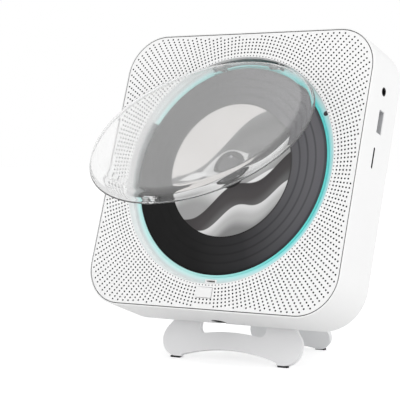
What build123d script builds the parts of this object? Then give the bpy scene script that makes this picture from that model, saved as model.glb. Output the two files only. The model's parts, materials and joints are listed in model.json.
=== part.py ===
"""Compact disc player that hangs on a wall or leans on a folding table stand.

Body frame used while modelling: X to the right, Y into the player, Z up along the face, with the
origin at the centre of the front face.  The finished player leans back by LEAN and stands on z = 0.
All sizes are in millimetres and degrees.
"""
from build123d import *
from math import acos, ceil, cos, hypot, pi, radians, sin, tan
import os

# ---------------------------------------------------------------- driving sizes
LEAN = 18.7                 # how far the face leans back on its stand
SEAT_GAP = 0.1              # loose fit between moulded parts
RUN_GAP = 0.05              # radial clearance of a running shaft

CASE_SIZE = 162.6           # outer width and height of the casing
CASE_RADIUS = 24.0          # its outer corner radius, seen from the front
CASE_DEPTH = 35.0
CASE_WALL = 2.2
CASE_BACK_EDGE = 2.5        # rounding round the back
CASE_LIP = 0.8             # thin rim of the casing that shows round the front panel

PANEL_THICK = 2.0
PANEL_GAP = 0.4             # seam between the panel and that rim
WELL_RADIUS = 66.0          # opening of the panel at its front face
WELL_RADIUS_DEEP = 65.1     # the same opening at the foot of the collar
COLLAR_DEPTH = 4.2
HOLE_DIAMETER = 1.05        # one perforation
HOLE_SPOKES = 200           # perforations on each ring
HOLE_PITCH = 2.0            # from ring to ring
HOLE_FIRST_RING = 66.75

DISC_RADIUS = 60.0
DISC_HOLE_RADIUS = 7.5
DISC_THICK = 1.2
DISC_FACE = 3.8             # depth of the disc's front surface behind the panel face
LABEL_RADIUS = 38.3
LABEL_INNER_RADIUS = 8.2
LABEL_THICK = 0.12

RING_FACE = 4.4             # depth of the light ring
RING_INNER_RADIUS = 61.2
RING_LIP_RADIUS = 60.2
RING_THICK = 1.6
DECK_FLOOR = 6.6
DECK_THICK = 1.6
DECK_RADIUS = 68.0
CHANNEL_INNER_RADIUS = 59.9
CHANNEL_FLOOR = 9.4
LAMP_COUNT = 24
LAMP_RADIUS = 63.3
LAMP_HEIGHT = 1.2
NOTCH_START = 154.5         # finger notch beside the disc, angles from +X
NOTCH_END = 194.5
NOTCH_RADIUS = 65.0

COVER_RADIUS = 64.3         # rim of the clear cover
COVER_RIM = 4.1             # depth of the rim plane when closed
COVER_HEIGHT = 5.6          # of its front above the rim; below, its outer and inner (radius, depth)
COVER_OUTSIDE = [(0, 0), (57.8, 0), (59.9, 0.42), (61.8, 1.75), (63.3, 3.85), (COVER_RADIUS, COVER_HEIGHT)]
COVER_INSIDE = [(0, 1.6), (57.4, 1.6), (60.2, 2.15), (61.6, 3.6), (COVER_RADIUS - 1.6, COVER_HEIGHT)]
COVER_OPEN = 35.5           # angle at which it stands open
HINGE_DEPTH = 3.8
HINGE_HEIGHT = 61.0
HINGE_SPREAD = 18.7         # each hinge barrel from the centre line
HINGE_BARREL_RADIUS = 2.0
HINGE_EAR_RADIUS = 1.8
HINGE_BARREL_WIDTH = 5.0
HINGE_EAR_WIDTH = 1.6
HINGE_PIN_RADIUS = 0.75
TAB_WIDTH = 4.6
TAB_THICK = 0.8
TAB_SLOT = 1.1              # height of the slot that it enters
TAB_LENGTH = 3.2

STAND_THICK = 2.5
FOOT_SPREAD = 35.4          # centre of each front foot lobe from the centre line
FOOT_RADIUS = 10.4
FOOT_CENTRE = -91.1         # height of the lobe centres in the body frame
STAND_ARCH_RADIUS = 105.0
STAND_ARCH_TOP = -95.5
STAND_NECK_WIDTH = 62.0
SHOULDER_TOP = -60.0        # where the neck starts to widen into the lobes
SHOULDER_BEND = -78.0
STAND_TOP = 18.0
WINDOW_WIDTH = 43.5
WINDOW_TOP = -62.0
WINDOW_WEB = 10.1           # material between the arch and the window
WINDOW_CORNER = 4.0
WINDOW_SAG = 1.5            # its lower corners below the top of its arched sill
LEG_THICK = 3.0
LEG_SPLAY = 17.5            # leg from the vertical when it is open
LEG_HINGE_HEIGHT = 8.0
LEG_HINGE_DEPTH = 3.4       # hinge line behind the plate
LEG_TOP_WIDTH = 40.0
LEG_FOOT_SPREAD = 19.2
LEG_FOOT_RADIUS = 8.0
LEG_FLARE = 30.0            # height over the feet at which it starts to narrow
LEG_ARCH_RADIUS = 90.0
LEG_ARCH_RISE = 1.8
LEG_PIN_RADIUS = 1.25
LEG_EAR_WIDTH = 4.5
LEG_EAR_RADIUS = 3.4
PAD_LENGTH = 6.0
PAD_WIDTH = 2.6
PAD_HEIGHT = 1.0
PAD_PROUD = 0.4             # rubber below the plastic

JACK_DEPTH = 15.4           # sockets on the right side: depth and height of each centre
JACK_HEIGHT = 49.2
JACK_RADIUS = 1.8
JACK_LENGTH = 14.0
JACK_NOSE_RADIUS = 2.4
JACK_HALF = 3.2             # half width of its body
USB_DEPTH = 16.7
USB_HEIGHT = 32.2
USB_HOLE = (13.1, 5.7)      # height and depth of the opening in the casing
USB_SHELL = (12.9, 5.5)     # outer height and depth of the socket's metal shell
USB_METAL = 0.3
USB_LENGTH = 17.5
USB_TONGUE = (11.0, 1.9)
USB_TONGUE_OFFSET = 0.75    # tongue's middle behind the shell's middle
USB_TONGUE_SET = 4.2        # tongue's front edge behind the casing's side
CARD_DEPTH = 14.8
CARD_HEIGHT = 11.5
CARD_HOLE = (11.8, 1.6)
CARD_SHELL = (14.4, 2.4)
CARD_ROOM = (11.2, 1.4)
CARD_LENGTH = 14.5
INLET_X = -5.5
INLET_DEPTH = 28.2
INLET_RADIUS = 4.6
INLET_NOSE_SET = 0.4        # its face behind the casing's underside
INLET_BORE_RADIUS = 2.85
INLET_BORE_DEPTH = 10.0
INLET_PIN_RADIUS = 1.0
INLET_BODY = (10.4, 13.0)   # width and height of the block behind the wall

OPEN_KEY = (9.4, 5.7)       # cover release key below the well
OPEN_KEY_X = -0.12
OPEN_KEY_HEIGHT = -70.9
OPEN_KEY_PROUD = 0.3
KEY_HOLE = (10.0, 6.2)      # its opening in the panel, on the centre line
KEY_TRAVEL = 0.6            # of the release key and the top keys
CLOTH_THICK = 0.4
CLOTH_INSET = 0.6

BUTTON_RADIUS = 3.5
BUTTON_PITCH = 14.0
BUTTON_PROUD = 0.8
BUTTON_NAMES = ["button_power", "button_previous", "button_play", "button_next", "button_mode"]

SPEAKER_X = 59.5
SPEAKER_HEIGHT = -59.5
SPEAKER_RADIUS = 15.0
KEYHOLE_X = 35.0
KEYHOLE_HEIGHT = 44.0
KEYHOLE_RADIUS = 4.4
KEYHOLE_SLOT_RADIUS = 2.2
KEYHOLE_RISE = 8.0

CHASSIS_FACE = 11.6
CHASSIS_THICK = 1.2
RAIL_RADIUS = 1.5
RAIL_DEPTH = 15.2
RAIL_SPREAD = 11.0
MECH_TURN = -45.0           # the pickup runs down to the left
LENS_REST = -24.5           # pickup lens at its inner stop
SLED_TRAVEL = 31.5
RACK_LINE = -17.0           # pitch line of the rack
RACK_MODULE = 0.6
RACK_PINION_TEETH = 14
WHEEL_MODULE = 0.5
WHEEL_TEETH = 40
MOTOR_PINION_TEETH = 10
WHEEL_X = -34.0

POST_PLACES = [(-66, 66), (66, 66), (-74.5, -40), (74.5, -40)]
POST_RADIUS = 3.4
POST_FRONT = 8.0
SCREW_RADIUS = 1.25
SCREW_HEAD_RADIUS = 2.6
SCREW_HEAD_SEAT = 32.0
PLATE_SCREWS = [(-23.0, -48.0), (23.0, -48.0), (0.0, -20.0)]
PLATE_BOSS_LENGTH = 6.0
BOARD_FACE = 25.5           # front of the main board
BOARD_THICK = 1.6
BOARD_X = (-58.0, 52.0)
BOARD_Z = (-62.0, 34.0)
BOARD_POST_INSET = 5.0
BOARD_POST_RADIUS = 3.0
KEY_BOARD_Z = 66.0
KEY_BOARD_Y = (12.5, 27.5)
KEY_BOARD_X = (-36.0, 36.0)
BUTTON_DEPTH = 17.5
SIDE_BOARD_X = (60.0, 77.0)
SIDE_BOARD_Z = (2.0, 60.0)

LAMP_BOARD_THICK = 1.0
LATCH_WIDTH = 7.4           # catch block in the ring
LATCH_RISE = 1.1            # its upper edge above the middle of its slot
LATCH_HEIGHT = -63.6        # middle of the slot that the cover's tab enters
DECK_SCREW_RING = 71.0
DECK_BOSS_RADIUS = 2.4
DECK_EAR_RADIUS = 3.2
DECK_EAR_FACE = 5.0
DECK_EAR_THICK = 2.0
DAMPER_PLACES = [(-50.0, 18.0), (-46.0, -25.0), (24.0, 18.0), (24.0, -18.0)]
DAMPER_SEAT = 11.0
PICKUP_SLOT_HALF = 6.0
IR_RADIUS = 1.4             # infrared window in the ring
IR_RING = 63.6
IR_ANGLE = 31.5

HUB_RADIUS = 7.35
HUB_NOSE = 2.9              # depth of the clamp's front
TURNTABLE_RADIUS = 14.0
SHAFT_RADIUS = 1.0
MOTOR_RADIUS = 12.2
MOTOR_LENGTH = 8.0
BALL_RADIUS = 0.9
BALL_REACH = 6.75
BALL_DEPTH = 3.2

CHASSIS_CORNERS = [(-70, 23), (-70, -20), (-52, -30), (-46, -42), (-22, -42), (-14, -25), (29, -23), (29, 23)]
RAIL_X = (-69.7, -12.0)
SLED_HALF = 11.0
TOWER = (3.4, 4.4)          # lens carrier, half sizes
WHEEL_FACE = 18.6
WHEEL_THICK = 1.5
SLED_MOTOR_RADIUS = 6.0
RACK_FRONT = 14.2
RACK_BACK = 16.4
RACK_REACH = (-15.0, 27.6)  # rack ends from the lens

# ---------------------------------------------------------------- worked-out sizes
HALF = CASE_SIZE / 2
INNER_HALF = HALF - CASE_WALL
BACK_INNER = CASE_DEPTH - CASE_WALL
PANEL_HALF = HALF - CASE_LIP - PANEL_GAP
SIDE_BOARD_FACE = USB_DEPTH + USB_SHELL[1] / 2 + 0.1
LAMP_BOARD_FACE = CHANNEL_FLOOR - LAMP_BOARD_THICK
BOARD_POSTS = [(x, z) for x in (BOARD_X[0] + BOARD_POST_INSET, BOARD_X[1] - BOARD_POST_INSET)
               for z in (BOARD_Z[0] + BOARD_POST_INSET, BOARD_Z[1] - BOARD_POST_INSET)]
MOTOR_FACE = CHASSIS_FACE + CHASSIS_THICK
PICKUP_SLOT = (LENS_REST - SLED_TRAVEL - 4.0, LENS_REST + 5.5)
WHEEL_CENTRE = RACK_LINE - RACK_MODULE * RACK_PINION_TEETH / 2
PINION_Z = WHEEL_CENTRE - WHEEL_MODULE * (WHEEL_TEETH + MOTOR_PINION_TEETH) / 2
PLATE_BACK = CASE_DEPTH + STAND_THICK
LEG_AXIS_DEPTH = PLATE_BACK + LEG_HINGE_DEPTH
FOOT_BOTTOM = FOOT_CENTRE - FOOT_RADIUS
SIN_LEAN, COS_LEAN = sin(radians(LEAN)), cos(radians(LEAN))
# height of the face centre above the table: the lowest plastic edge stands PAD_PROUD above it
FACE_HEIGHT = PLATE_BACK * SIN_LEAN - FOOT_BOTTOM * COS_LEAN + PAD_PROUD / 2


# ---------------------------------------------------------------- small helpers
def box(x, y, z):
    """Block from its lowest to its highest corner, each given as a pair."""
    size = Box(x[1] - x[0], y[1] - y[0], z[1] - z[0])
    return Pos((x[0] + x[1]) / 2, (y[0] + y[1]) / 2, (z[0] + z[1]) / 2) * size


def centred(x, depth, height, size):
    """Block from x[0] to x[1] round a depth and height; size is its height and depth."""
    high, deep = size[0] / 2, size[1] / 2
    return box(x, (depth - deep, depth + deep), (height - high, height + high))


def rod_y(x, z, radius, y0, y1):
    return Pos(x, (y0 + y1) / 2, z) * Rot(X=90) * Cylinder(radius, y1 - y0)


def rod_x(y, z, radius, x0, x1):
    return Pos((x0 + x1) / 2, y, z) * Rot(Y=90) * Cylinder(radius, x1 - x0)


def rod_z(x, y, radius, z0, z1):
    return Pos(x, y, (z0 + z1) / 2) * Cylinder(radius, z1 - z0)


def plate(sketch, y0, y1):
    """Sketch drawn in X and Z, thickened from depth y0 to y1."""
    return extrude(Plane.XZ.offset(-y0) * sketch, amount=-(y1 - y0))


def turned(*points):
    """Solid of revolution about the disc's axis from (radius, depth) points."""
    outline = Polyline(*[(r, y, 0) for r, y in points], close=True)
    return revolve(make_face(outline), Axis.Y)


def washer(outer, inner, y0, y1, x=0.0, z=0.0):
    return rod_y(x, z, outer, y0, y1) - rod_y(x, z, inner, y0 - 1, y1 + 1)


def rounded_square(half, radius, y0, y1):
    return plate(RectangleRounded(2 * half, 2 * half, radius), y0, y1)


def sector(radius, start, end, y0, y1):
    """Wedge about the disc's axis between two angles."""
    steps = [start + (end - start) * i / 8 for i in range(9)]
    reach = radius / cos(radians((end - start) / 16))
    rim = [(reach * cos(radians(a)), reach * sin(radians(a))) for a in steps]
    return plate(make_face(Polyline((0, 0), *rim, close=True)), y0, y1)


def group(*solids):
    return Compound([solid for shape in solids for solid in shape.solids()])


def polar(radius, angle):
    return radius * cos(radians(angle)), radius * sin(radians(angle))


def mech(shape):
    """Turn the pickup mechanism, which is drawn along X, to the way it runs in the player."""
    return Rot(Y=MECH_TURN) * shape


def gear_outline(module, teeth, thin=0.05, shift=0.0, addendum=0.9, dedendum=1.2):
    """Involute spur gear seen along its axis, first tooth at angle shift."""
    pitch = module * teeth / 2
    base = pitch * cos(radians(20))
    tip = pitch + addendum * module
    root = pitch - dedendum * module
    start = max(base, root + 0.02)

    def roll(radius):
        return tan(acos(base / radius)) - acos(base / radius)

    half_tooth = pi / (2 * teeth) - thin / pitch + roll(pitch)
    steps = [start + (tip - start) * i / 4 for i in range(5)]
    points = []
    for tooth in range(teeth):
        middle = radians(shift) + 2 * pi * tooth / teeth
        flank = [(r, half_tooth - roll(r)) for r in steps]
        profile = [(root, -half_tooth)] + [(r, -a) for r, a in flank]
        profile += [(r, a) for r, a in reversed(flank)] + [(root, half_tooth)]
        points += [(r * cos(middle + a), r * sin(middle + a)) for r, a in profile]
    return make_face(Polyline(*points, close=True))


def stand_up(shape):
    """Body frame to the leaning player over the table."""
    return Pos(0, 0, FACE_HEIGHT) * Rot(X=-LEAN) * shape


def leaned(y, z):
    """Depth and height of a body-frame point after stand_up."""
    return y * COS_LEAN + z * SIN_LEAN, FACE_HEIGHT - y * SIN_LEAN + z * COS_LEAN


# ---------------------------------------------------------------- worked-out places
DECK_SCREWS = [polar(DECK_SCREW_RING, angle) for angle in (60, 120, 240, 300)]
IR_PLACE = polar(IR_RING, IR_ANGLE)
LEG_AXIS_Y, LEG_AXIS_Z = leaned(LEG_AXIS_DEPTH, LEG_HINGE_HEIGHT)
LEG_LENGTH = (LEG_AXIS_Z - PAD_PROUD - LEG_THICK / 2 * sin(radians(LEG_SPLAY))) / cos(radians(LEG_SPLAY))
LEG_FOOT_Y = LEG_AXIS_Y + LEG_LENGTH * sin(radians(LEG_SPLAY))
# heel above the hinge that meets the plate when the leg is fully open
LEG_OPEN = LEAN + LEG_SPLAY
LEG_HEEL = (LEG_HINGE_DEPTH - 0.15 - LEG_THICK / 2 * cos(radians(LEG_OPEN))) / sin(radians(LEG_OPEN))


# ---------------------------------------------------------------- casing and front
def keyhole(x):
    """Entry hole and narrow slot through the back, with room for a screw head behind it."""
    top = KEYHOLE_HEIGHT + KEYHOLE_RISE
    cut = rod_y(x, KEYHOLE_HEIGHT, KEYHOLE_RADIUS, BACK_INNER - 1, CASE_DEPTH + 1)
    cut += rod_y(x, top, KEYHOLE_SLOT_RADIUS, BACK_INNER - 1, CASE_DEPTH + 1)
    return cut + box((x - KEYHOLE_SLOT_RADIUS, x + KEYHOLE_SLOT_RADIUS),
                     (BACK_INNER - 1, CASE_DEPTH + 1), (KEYHOLE_HEIGHT, top))


def keyhole_room(x, grow):
    """Box over one keyhole, grown by the pocket's wall."""
    half = KEYHOLE_RADIUS + 1.2 + grow
    return box((x - half, x + half), (BACK_INNER - 5 - grow, BACK_INNER),
               (KEYHOLE_HEIGHT - half, KEYHOLE_HEIGHT + KEYHOLE_RISE + KEYHOLE_RADIUS + grow))


def rear_housing():
    shell = rounded_square(HALF, CASE_RADIUS, 0, CASE_DEPTH)
    shell = fillet(shell.faces().sort_by(Axis.Y)[-1].edges(), CASE_BACK_EDGE)
    shell = fillet(shell.faces().sort_by(Axis.Y)[0].edges(), CASE_LIP * 0.6)
    shell -= rounded_square(INNER_HALF, CASE_RADIUS - CASE_WALL, -1, BACK_INNER)
    shell -= rounded_square(HALF - CASE_LIP, CASE_RADIUS - CASE_LIP, -1, PANEL_THICK)
    # posts for the housing screws, the board, the key board, the socket board and the stand
    for x, z in POST_PLACES:
        shell += rod_y(x, z, POST_RADIUS + 0.8, POST_FRONT, BACK_INNER + 0.5)
    for x, z in BOARD_POSTS:
        shell += rod_y(x, z, BOARD_POST_RADIUS, BOARD_FACE + BOARD_THICK, BACK_INNER + 0.5)
    for x, z in PLATE_SCREWS:
        shell += rod_y(x, z, 3.0, CASE_DEPTH - PLATE_BOSS_LENGTH, BACK_INNER + 0.5)
    for side in (-1, 1):
        shelf = sorted((side * (KEY_BOARD_X[1] - 6), side * KEY_BOARD_X[1]))
        shell += box(shelf, (KEY_BOARD_Y[0] + 6, BACK_INNER + 0.5), (KEY_BOARD_Z - 3, KEY_BOARD_Z))
    for z in (SIDE_BOARD_Z[0] + 4, SIDE_BOARD_Z[1] - 4):
        shell += rod_y(70, z, 3.0, SIDE_BOARD_FACE + BOARD_THICK, BACK_INNER + 0.5)
    for x in (-KEYHOLE_X, KEYHOLE_X):
        shell += keyhole_room(x, 1.2)
        shell -= keyhole_room(x, 0.0)
        shell -= keyhole(x)
    for x, z in POST_PLACES:
        shell -= rod_y(x, z, SCREW_RADIUS + SEAT_GAP, POST_FRONT - 1, CASE_DEPTH)
        shell -= rod_y(x, z, SCREW_HEAD_RADIUS + 0.3, SCREW_HEAD_SEAT, CASE_DEPTH + 1)
    for x, z in PLATE_SCREWS:
        shell -= rod_y(x, z, SCREW_RADIUS + SEAT_GAP, CASE_DEPTH - PLATE_BOSS_LENGTH + 1, CASE_DEPTH + 1)
    # openings in the top, right and bottom walls
    for i in range(len(BUTTON_NAMES)):
        shell -= rod_z(button_x(i), BUTTON_DEPTH, BUTTON_RADIUS + 0.15, INNER_HALF - 1, HALF + 1)
    shell -= rod_x(JACK_DEPTH, JACK_HEIGHT, JACK_NOSE_RADIUS + SEAT_GAP, INNER_HALF - 1, HALF + 1)
    shell -= centred((INNER_HALF - 1, HALF + 1), USB_DEPTH, USB_HEIGHT, USB_HOLE)
    straight = CARD_HOLE[0] - CARD_HOLE[1]
    shell -= centred((INNER_HALF - 1, HALF + 1), CARD_DEPTH, CARD_HEIGHT, (straight, CARD_HOLE[1]))
    for side in (-1, 1):
        height = CARD_HEIGHT + side * straight / 2
        shell -= rod_x(CARD_DEPTH, height, CARD_HOLE[1] / 2, INNER_HALF - 1, HALF + 1)
    shell -= rod_z(INLET_X, INLET_DEPTH, INLET_RADIUS, -HALF - 1, -INNER_HALF + 1)
    shell -= rod_y(INLET_X, -HALF - 1.2, 2.6, INLET_DEPTH, CASE_DEPTH + 1)
    return shell


def button_x(i):
    return (i - (len(BUTTON_NAMES) - 1) / 2) * BUTTON_PITCH


def panel_screw_boss(x, z):
    return washer(POST_RADIUS, SCREW_RADIUS - 0.15, PANEL_THICK, POST_FRONT, x, z)


def speaker_holes():
    """Perforations that go right through, in front of the two speakers."""
    reach = SPEAKER_RADIUS - 2.5
    centre = hypot(SPEAKER_X, SPEAKER_HEIGHT)
    spots = []
    for ring in range(int(ceil((centre + reach - HOLE_FIRST_RING) / HOLE_PITCH)) + 1):
        radius = HOLE_FIRST_RING + ring * HOLE_PITCH
        for spoke in range(HOLE_SPOKES):
            x, z = polar(radius, 360 * spoke / HOLE_SPOKES)
            if hypot(abs(x) - SPEAKER_X, z - SPEAKER_HEIGHT) < reach:
                spots.append((x, z))
    return spots


def front_panel():
    outline = RectangleRounded(2 * PANEL_HALF, 2 * PANEL_HALF, CASE_RADIUS - CASE_LIP - PANEL_GAP)
    holes = [Pos(x, z) * Circle(HOLE_DIAMETER / 2) for x, z in speaker_holes()]
    key = Pos(0, OPEN_KEY_HEIGHT) * RectangleRounded(*KEY_HOLE, 0.6)
    sheet = plate(outline - Circle(WELL_RADIUS + 0.1) - key - holes, 0, PANEL_THICK)
    collar = turned((WELL_RADIUS, 0), (WELL_RADIUS + 0.2, 0), (WELL_RADIUS + 0.2, COLLAR_DEPTH),
                    (WELL_RADIUS_DEEP, COLLAR_DEPTH))
    collar -= box((-LATCH_WIDTH / 2 - 0.3, LATCH_WIDTH / 2 + 0.3), (PANEL_THICK, 6), (-70, -60))
    collar -= hinge_pocket(PANEL_THICK)
    panel = sheet + collar
    for room in hinge_clearance():
        panel -= room
    for x, z in POST_PLACES:
        panel += panel_screw_boss(x, z)
    for x, z in DECK_SCREWS:
        panel += washer(DECK_BOSS_RADIUS, 0.9, PANEL_THICK, DECK_EAR_FACE, x, z)
    return panel


def dust_cloth():
    """Black cloth behind the perforations."""
    inset = CASE_WALL + CLOTH_INSET
    sheet = rounded_square(HALF - inset, CASE_RADIUS - inset, PANEL_THICK, PANEL_THICK + CLOTH_THICK)
    sheet -= rod_y(0, 0, DECK_RADIUS + 0.3, PANEL_THICK - 1, PANEL_THICK + 1)
    for x, z in POST_PLACES:
        sheet -= rod_y(x, z, POST_RADIUS + 0.2, PANEL_THICK - 1, PANEL_THICK + 1)
    sheet -= box((-OPEN_KEY[0] / 2 - 2, OPEN_KEY[0] / 2 + 2), (PANEL_THICK - 1, PANEL_THICK + 1),
                 (OPEN_KEY_HEIGHT - 5, OPEN_KEY_HEIGHT + 6))
    for x, z in DECK_SCREWS:
        sheet -= rod_y(x, z, DECK_BOSS_RADIUS + 0.6, PANEL_THICK - 1, PANEL_THICK + 1)
    return sheet


# ---------------------------------------------------------------- disc well and light ring
def hinge_pocket(top):
    """Room for the cover's rim and hinge barrels, behind the disc's upper edge."""
    outer = HINGE_SPREAD + HINGE_BARREL_WIDTH / 2 + HINGE_EAR_WIDTH + 0.6
    pocket = box((-outer, outer), (top, CHANNEL_FLOOR), (40, HINGE_HEIGHT + 10))
    return pocket - rod_y(0, 0, RING_INNER_RADIUS + 0.7, 0, 20)


def barrel_pockets():
    """Rooms for the two barrels, which leave the inner lip of the ring whole behind them."""
    half = HINGE_BARREL_WIDTH / 2 + SEAT_GAP * 2
    back = HINGE_DEPTH + HINGE_BARREL_RADIUS + 0.3
    return [box((side * HINGE_SPREAD - half, side * HINGE_SPREAD + half), (0, back),
                (HINGE_HEIGHT - HINGE_BARREL_RADIUS - 0.4, HINGE_HEIGHT + 10)) for side in (-1, 1)]


def ear_spans():
    """Start and end in X of each of the four hinge ears."""
    inner = HINGE_SPREAD - HINGE_BARREL_WIDTH / 2 - SEAT_GAP * 2
    outer = HINGE_SPREAD + HINGE_BARREL_WIDTH / 2 + SEAT_GAP * 2
    spans = [(inner - HINGE_EAR_WIDTH, inner), (outer, outer + HINGE_EAR_WIDTH)]
    return [sorted((side * a, side * b)) for side in (-1, 1) for a, b in spans]


def ear_pockets():
    return [box((x0 - SEAT_GAP, x1 + SEAT_GAP), (0, CHANNEL_FLOOR + 1),
                (HINGE_HEIGHT - HINGE_EAR_RADIUS - SEAT_GAP, HINGE_HEIGHT + 10)) for x0, x1 in ear_spans()]


def hinge_clearance():
    """Round room for the barrels and ears, cut where the panel's collar would meet them."""
    reach = HINGE_SPREAD + HINGE_BARREL_WIDTH / 2 + HINGE_EAR_WIDTH + 4 * SEAT_GAP
    inner = HINGE_SPREAD - HINGE_BARREL_WIDTH / 2 - HINGE_EAR_WIDTH - 4 * SEAT_GAP
    spans = [sorted((side * inner, side * reach)) for side in (-1, 1)]
    return [rod_x(HINGE_DEPTH, HINGE_HEIGHT, HINGE_BARREL_RADIUS + 0.35, *span) for span in spans]


def hinge_ear(x0, x1):
    """One ear on the deck that holds a hinge pin."""
    round_end = rod_x(HINGE_DEPTH, HINGE_HEIGHT, HINGE_EAR_RADIUS, x0, x1)
    foot = box((x0, x1), (HINGE_DEPTH, CHANNEL_FLOOR + 0.3),
               (HINGE_HEIGHT - HINGE_EAR_RADIUS, HINGE_HEIGHT + HINGE_EAR_RADIUS))
    return round_end + foot - rod_x(HINGE_DEPTH, HINGE_HEIGHT, HINGE_PIN_RADIUS, x0 - 1, x1 + 1)


def deck():
    body = turned((0, DECK_FLOOR), (CHANNEL_INNER_RADIUS, DECK_FLOOR), (CHANNEL_INNER_RADIUS, CHANNEL_FLOOR),
                  (WELL_RADIUS + 0.4, CHANNEL_FLOOR), (WELL_RADIUS + 0.4, PANEL_THICK), (DECK_RADIUS, PANEL_THICK),
                  (DECK_RADIUS, DAMPER_SEAT), (CHANNEL_INNER_RADIUS - 1.4, DAMPER_SEAT),
                  (CHANNEL_INNER_RADIUS - 1.4, DECK_FLOOR + DECK_THICK), (0, DECK_FLOOR + DECK_THICK))
    for x, z in DECK_SCREWS:
        ear = rod_y(x, z, DECK_EAR_RADIUS, DECK_EAR_FACE, DECK_EAR_FACE + DECK_EAR_THICK)
        body += ear - rod_y(0, 0, DECK_RADIUS - 0.5, 0, 20)
    for x, z in DAMPER_PLACES:
        body += mech(rod_y(x, z, 3.0, DECK_FLOOR + 0.5, DAMPER_SEAT))
        body += mech(rod_y(x, z, 1.6, DAMPER_SEAT, DAMPER_SEAT + 3.2))
    for room in hinge_clearance():
        body -= room
    for x0, x1 in ear_spans():
        body += hinge_ear(x0, x1)
    body -= rod_y(0, 0, 9.0, 0, 10)
    body -= mech(box(PICKUP_SLOT, (0, 12), (-PICKUP_SLOT_HALF, PICKUP_SLOT_HALF)))
    for x, z in DECK_SCREWS:
        body -= rod_y(x, z, 1.1, 0, 20)
    return body


def light_ring():
    ring = turned((RING_LIP_RADIUS, RING_FACE + 1.2), (RING_INNER_RADIUS, RING_FACE + 1.2),
                  (RING_INNER_RADIUS, RING_FACE), (WELL_RADIUS + 0.2, RING_FACE),
                  (WELL_RADIUS + 0.2, CHANNEL_FLOOR), (WELL_RADIUS - 0.8, CHANNEL_FLOOR),
                  (WELL_RADIUS - 0.8, RING_FACE + RING_THICK), (RING_INNER_RADIUS + 0.1, RING_FACE + RING_THICK),
                  (RING_INNER_RADIUS + 0.1, CHANNEL_FLOOR), (RING_LIP_RADIUS, CHANNEL_FLOOR))
    notch = sector(NOTCH_RADIUS + 20, NOTCH_START, NOTCH_END, 0, 20)
    ring -= notch & rod_y(0, 0, NOTCH_RADIUS, 0, 20)
    ring -= hinge_pocket(0)
    for pocket in barrel_pockets() + ear_pockets():
        ring -= pocket
    half = LATCH_WIDTH / 2 + SEAT_GAP
    ring -= box((-half, half), (0, 20), (-70, LATCH_HEIGHT + LATCH_RISE + SEAT_GAP))
    ring -= rod_y(*IR_PLACE, IR_RADIUS + 0.06, 0, 20)
    return ring


def led_board():
    board = washer(WELL_RADIUS - 1.0, RING_INNER_RADIUS + 0.3, LAMP_BOARD_FACE, CHANNEL_FLOOR)
    board -= sector(NOTCH_RADIUS + 20, NOTCH_START - 2, NOTCH_END + 2, 0, 20)
    board -= box((-30, 30), (0, 20), (40, 70))
    return board - rod_y(*IR_PLACE, IR_RADIUS + 0.2, 0, 20)


def led_lamps():
    lamps = []
    for i in range(LAMP_COUNT):
        angle = 360 * (i + 0.5) / LAMP_COUNT
        x, z = polar(LAMP_RADIUS, angle)
        in_notch = NOTCH_START - 5 < angle < NOTCH_END + 5
        in_hinge = z > 0 and abs(x) < 32
        in_latch = z < 0 and abs(x) < LATCH_WIDTH / 2 + 2
        if in_notch or in_hinge or in_latch or hypot(x - IR_PLACE[0], z - IR_PLACE[1]) < 4:
            continue
        lamp = Box(1.6, LAMP_HEIGHT, 3.2)
        lamps.append(Pos(x, LAMP_BOARD_FACE - LAMP_HEIGHT / 2, z) * Rot(Y=-angle) * lamp)
    return group(*lamps)


def ir_window():
    return rod_y(*IR_PLACE, IR_RADIUS, RING_FACE - 0.1, CHANNEL_FLOOR)


def latch_catch():
    """Block in the lower edge of the well with the slot for the cover's tab."""
    wide = (-LATCH_WIDTH / 2, LATCH_WIDTH / 2)
    block = box(wide, (RING_FACE, LAMP_BOARD_FACE - 0.1), (-WELL_RADIUS - 0.2, LATCH_HEIGHT + LATCH_RISE))
    block += box(wide, (RING_FACE - 1.0, RING_FACE + 0.1), (-WELL_RADIUS - 0.2, -COVER_RADIUS - 0.4))
    half = TAB_WIDTH / 2 + 0.4
    slot = (LATCH_HEIGHT - TAB_SLOT / 2, LATCH_HEIGHT + TAB_SLOT / 2)
    return block - box((-half, half), (0, RING_FACE + 4.0), slot)


def open_key():
    """Cover release key below the well."""
    back = PANEL_THICK - KEY_TRAVEL - 0.2
    cap = plate(Pos(OPEN_KEY_X, OPEN_KEY_HEIGHT) * RectangleRounded(*OPEN_KEY, 0.5), -OPEN_KEY_PROUD, back)
    cap += box((-1.5, 1.5), (back - 0.1, 9.0), (OPEN_KEY_HEIGHT - 1.5, OPEN_KEY_HEIGHT + 1.5))
    return cap


def open_switch():
    """Small switch behind the release key, on its own tab."""
    z0 = OPEN_KEY_HEIGHT
    body = box((-4, 4), (10.4, 14.4), (z0 - 4, z0 + 2.5))
    body += rod_y(0, z0, 1.4, 9.8, 10.5)
    return body + box((-4, 4), (14.4, 22.0), (-INNER_HALF, z0 - 1.0))


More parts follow.
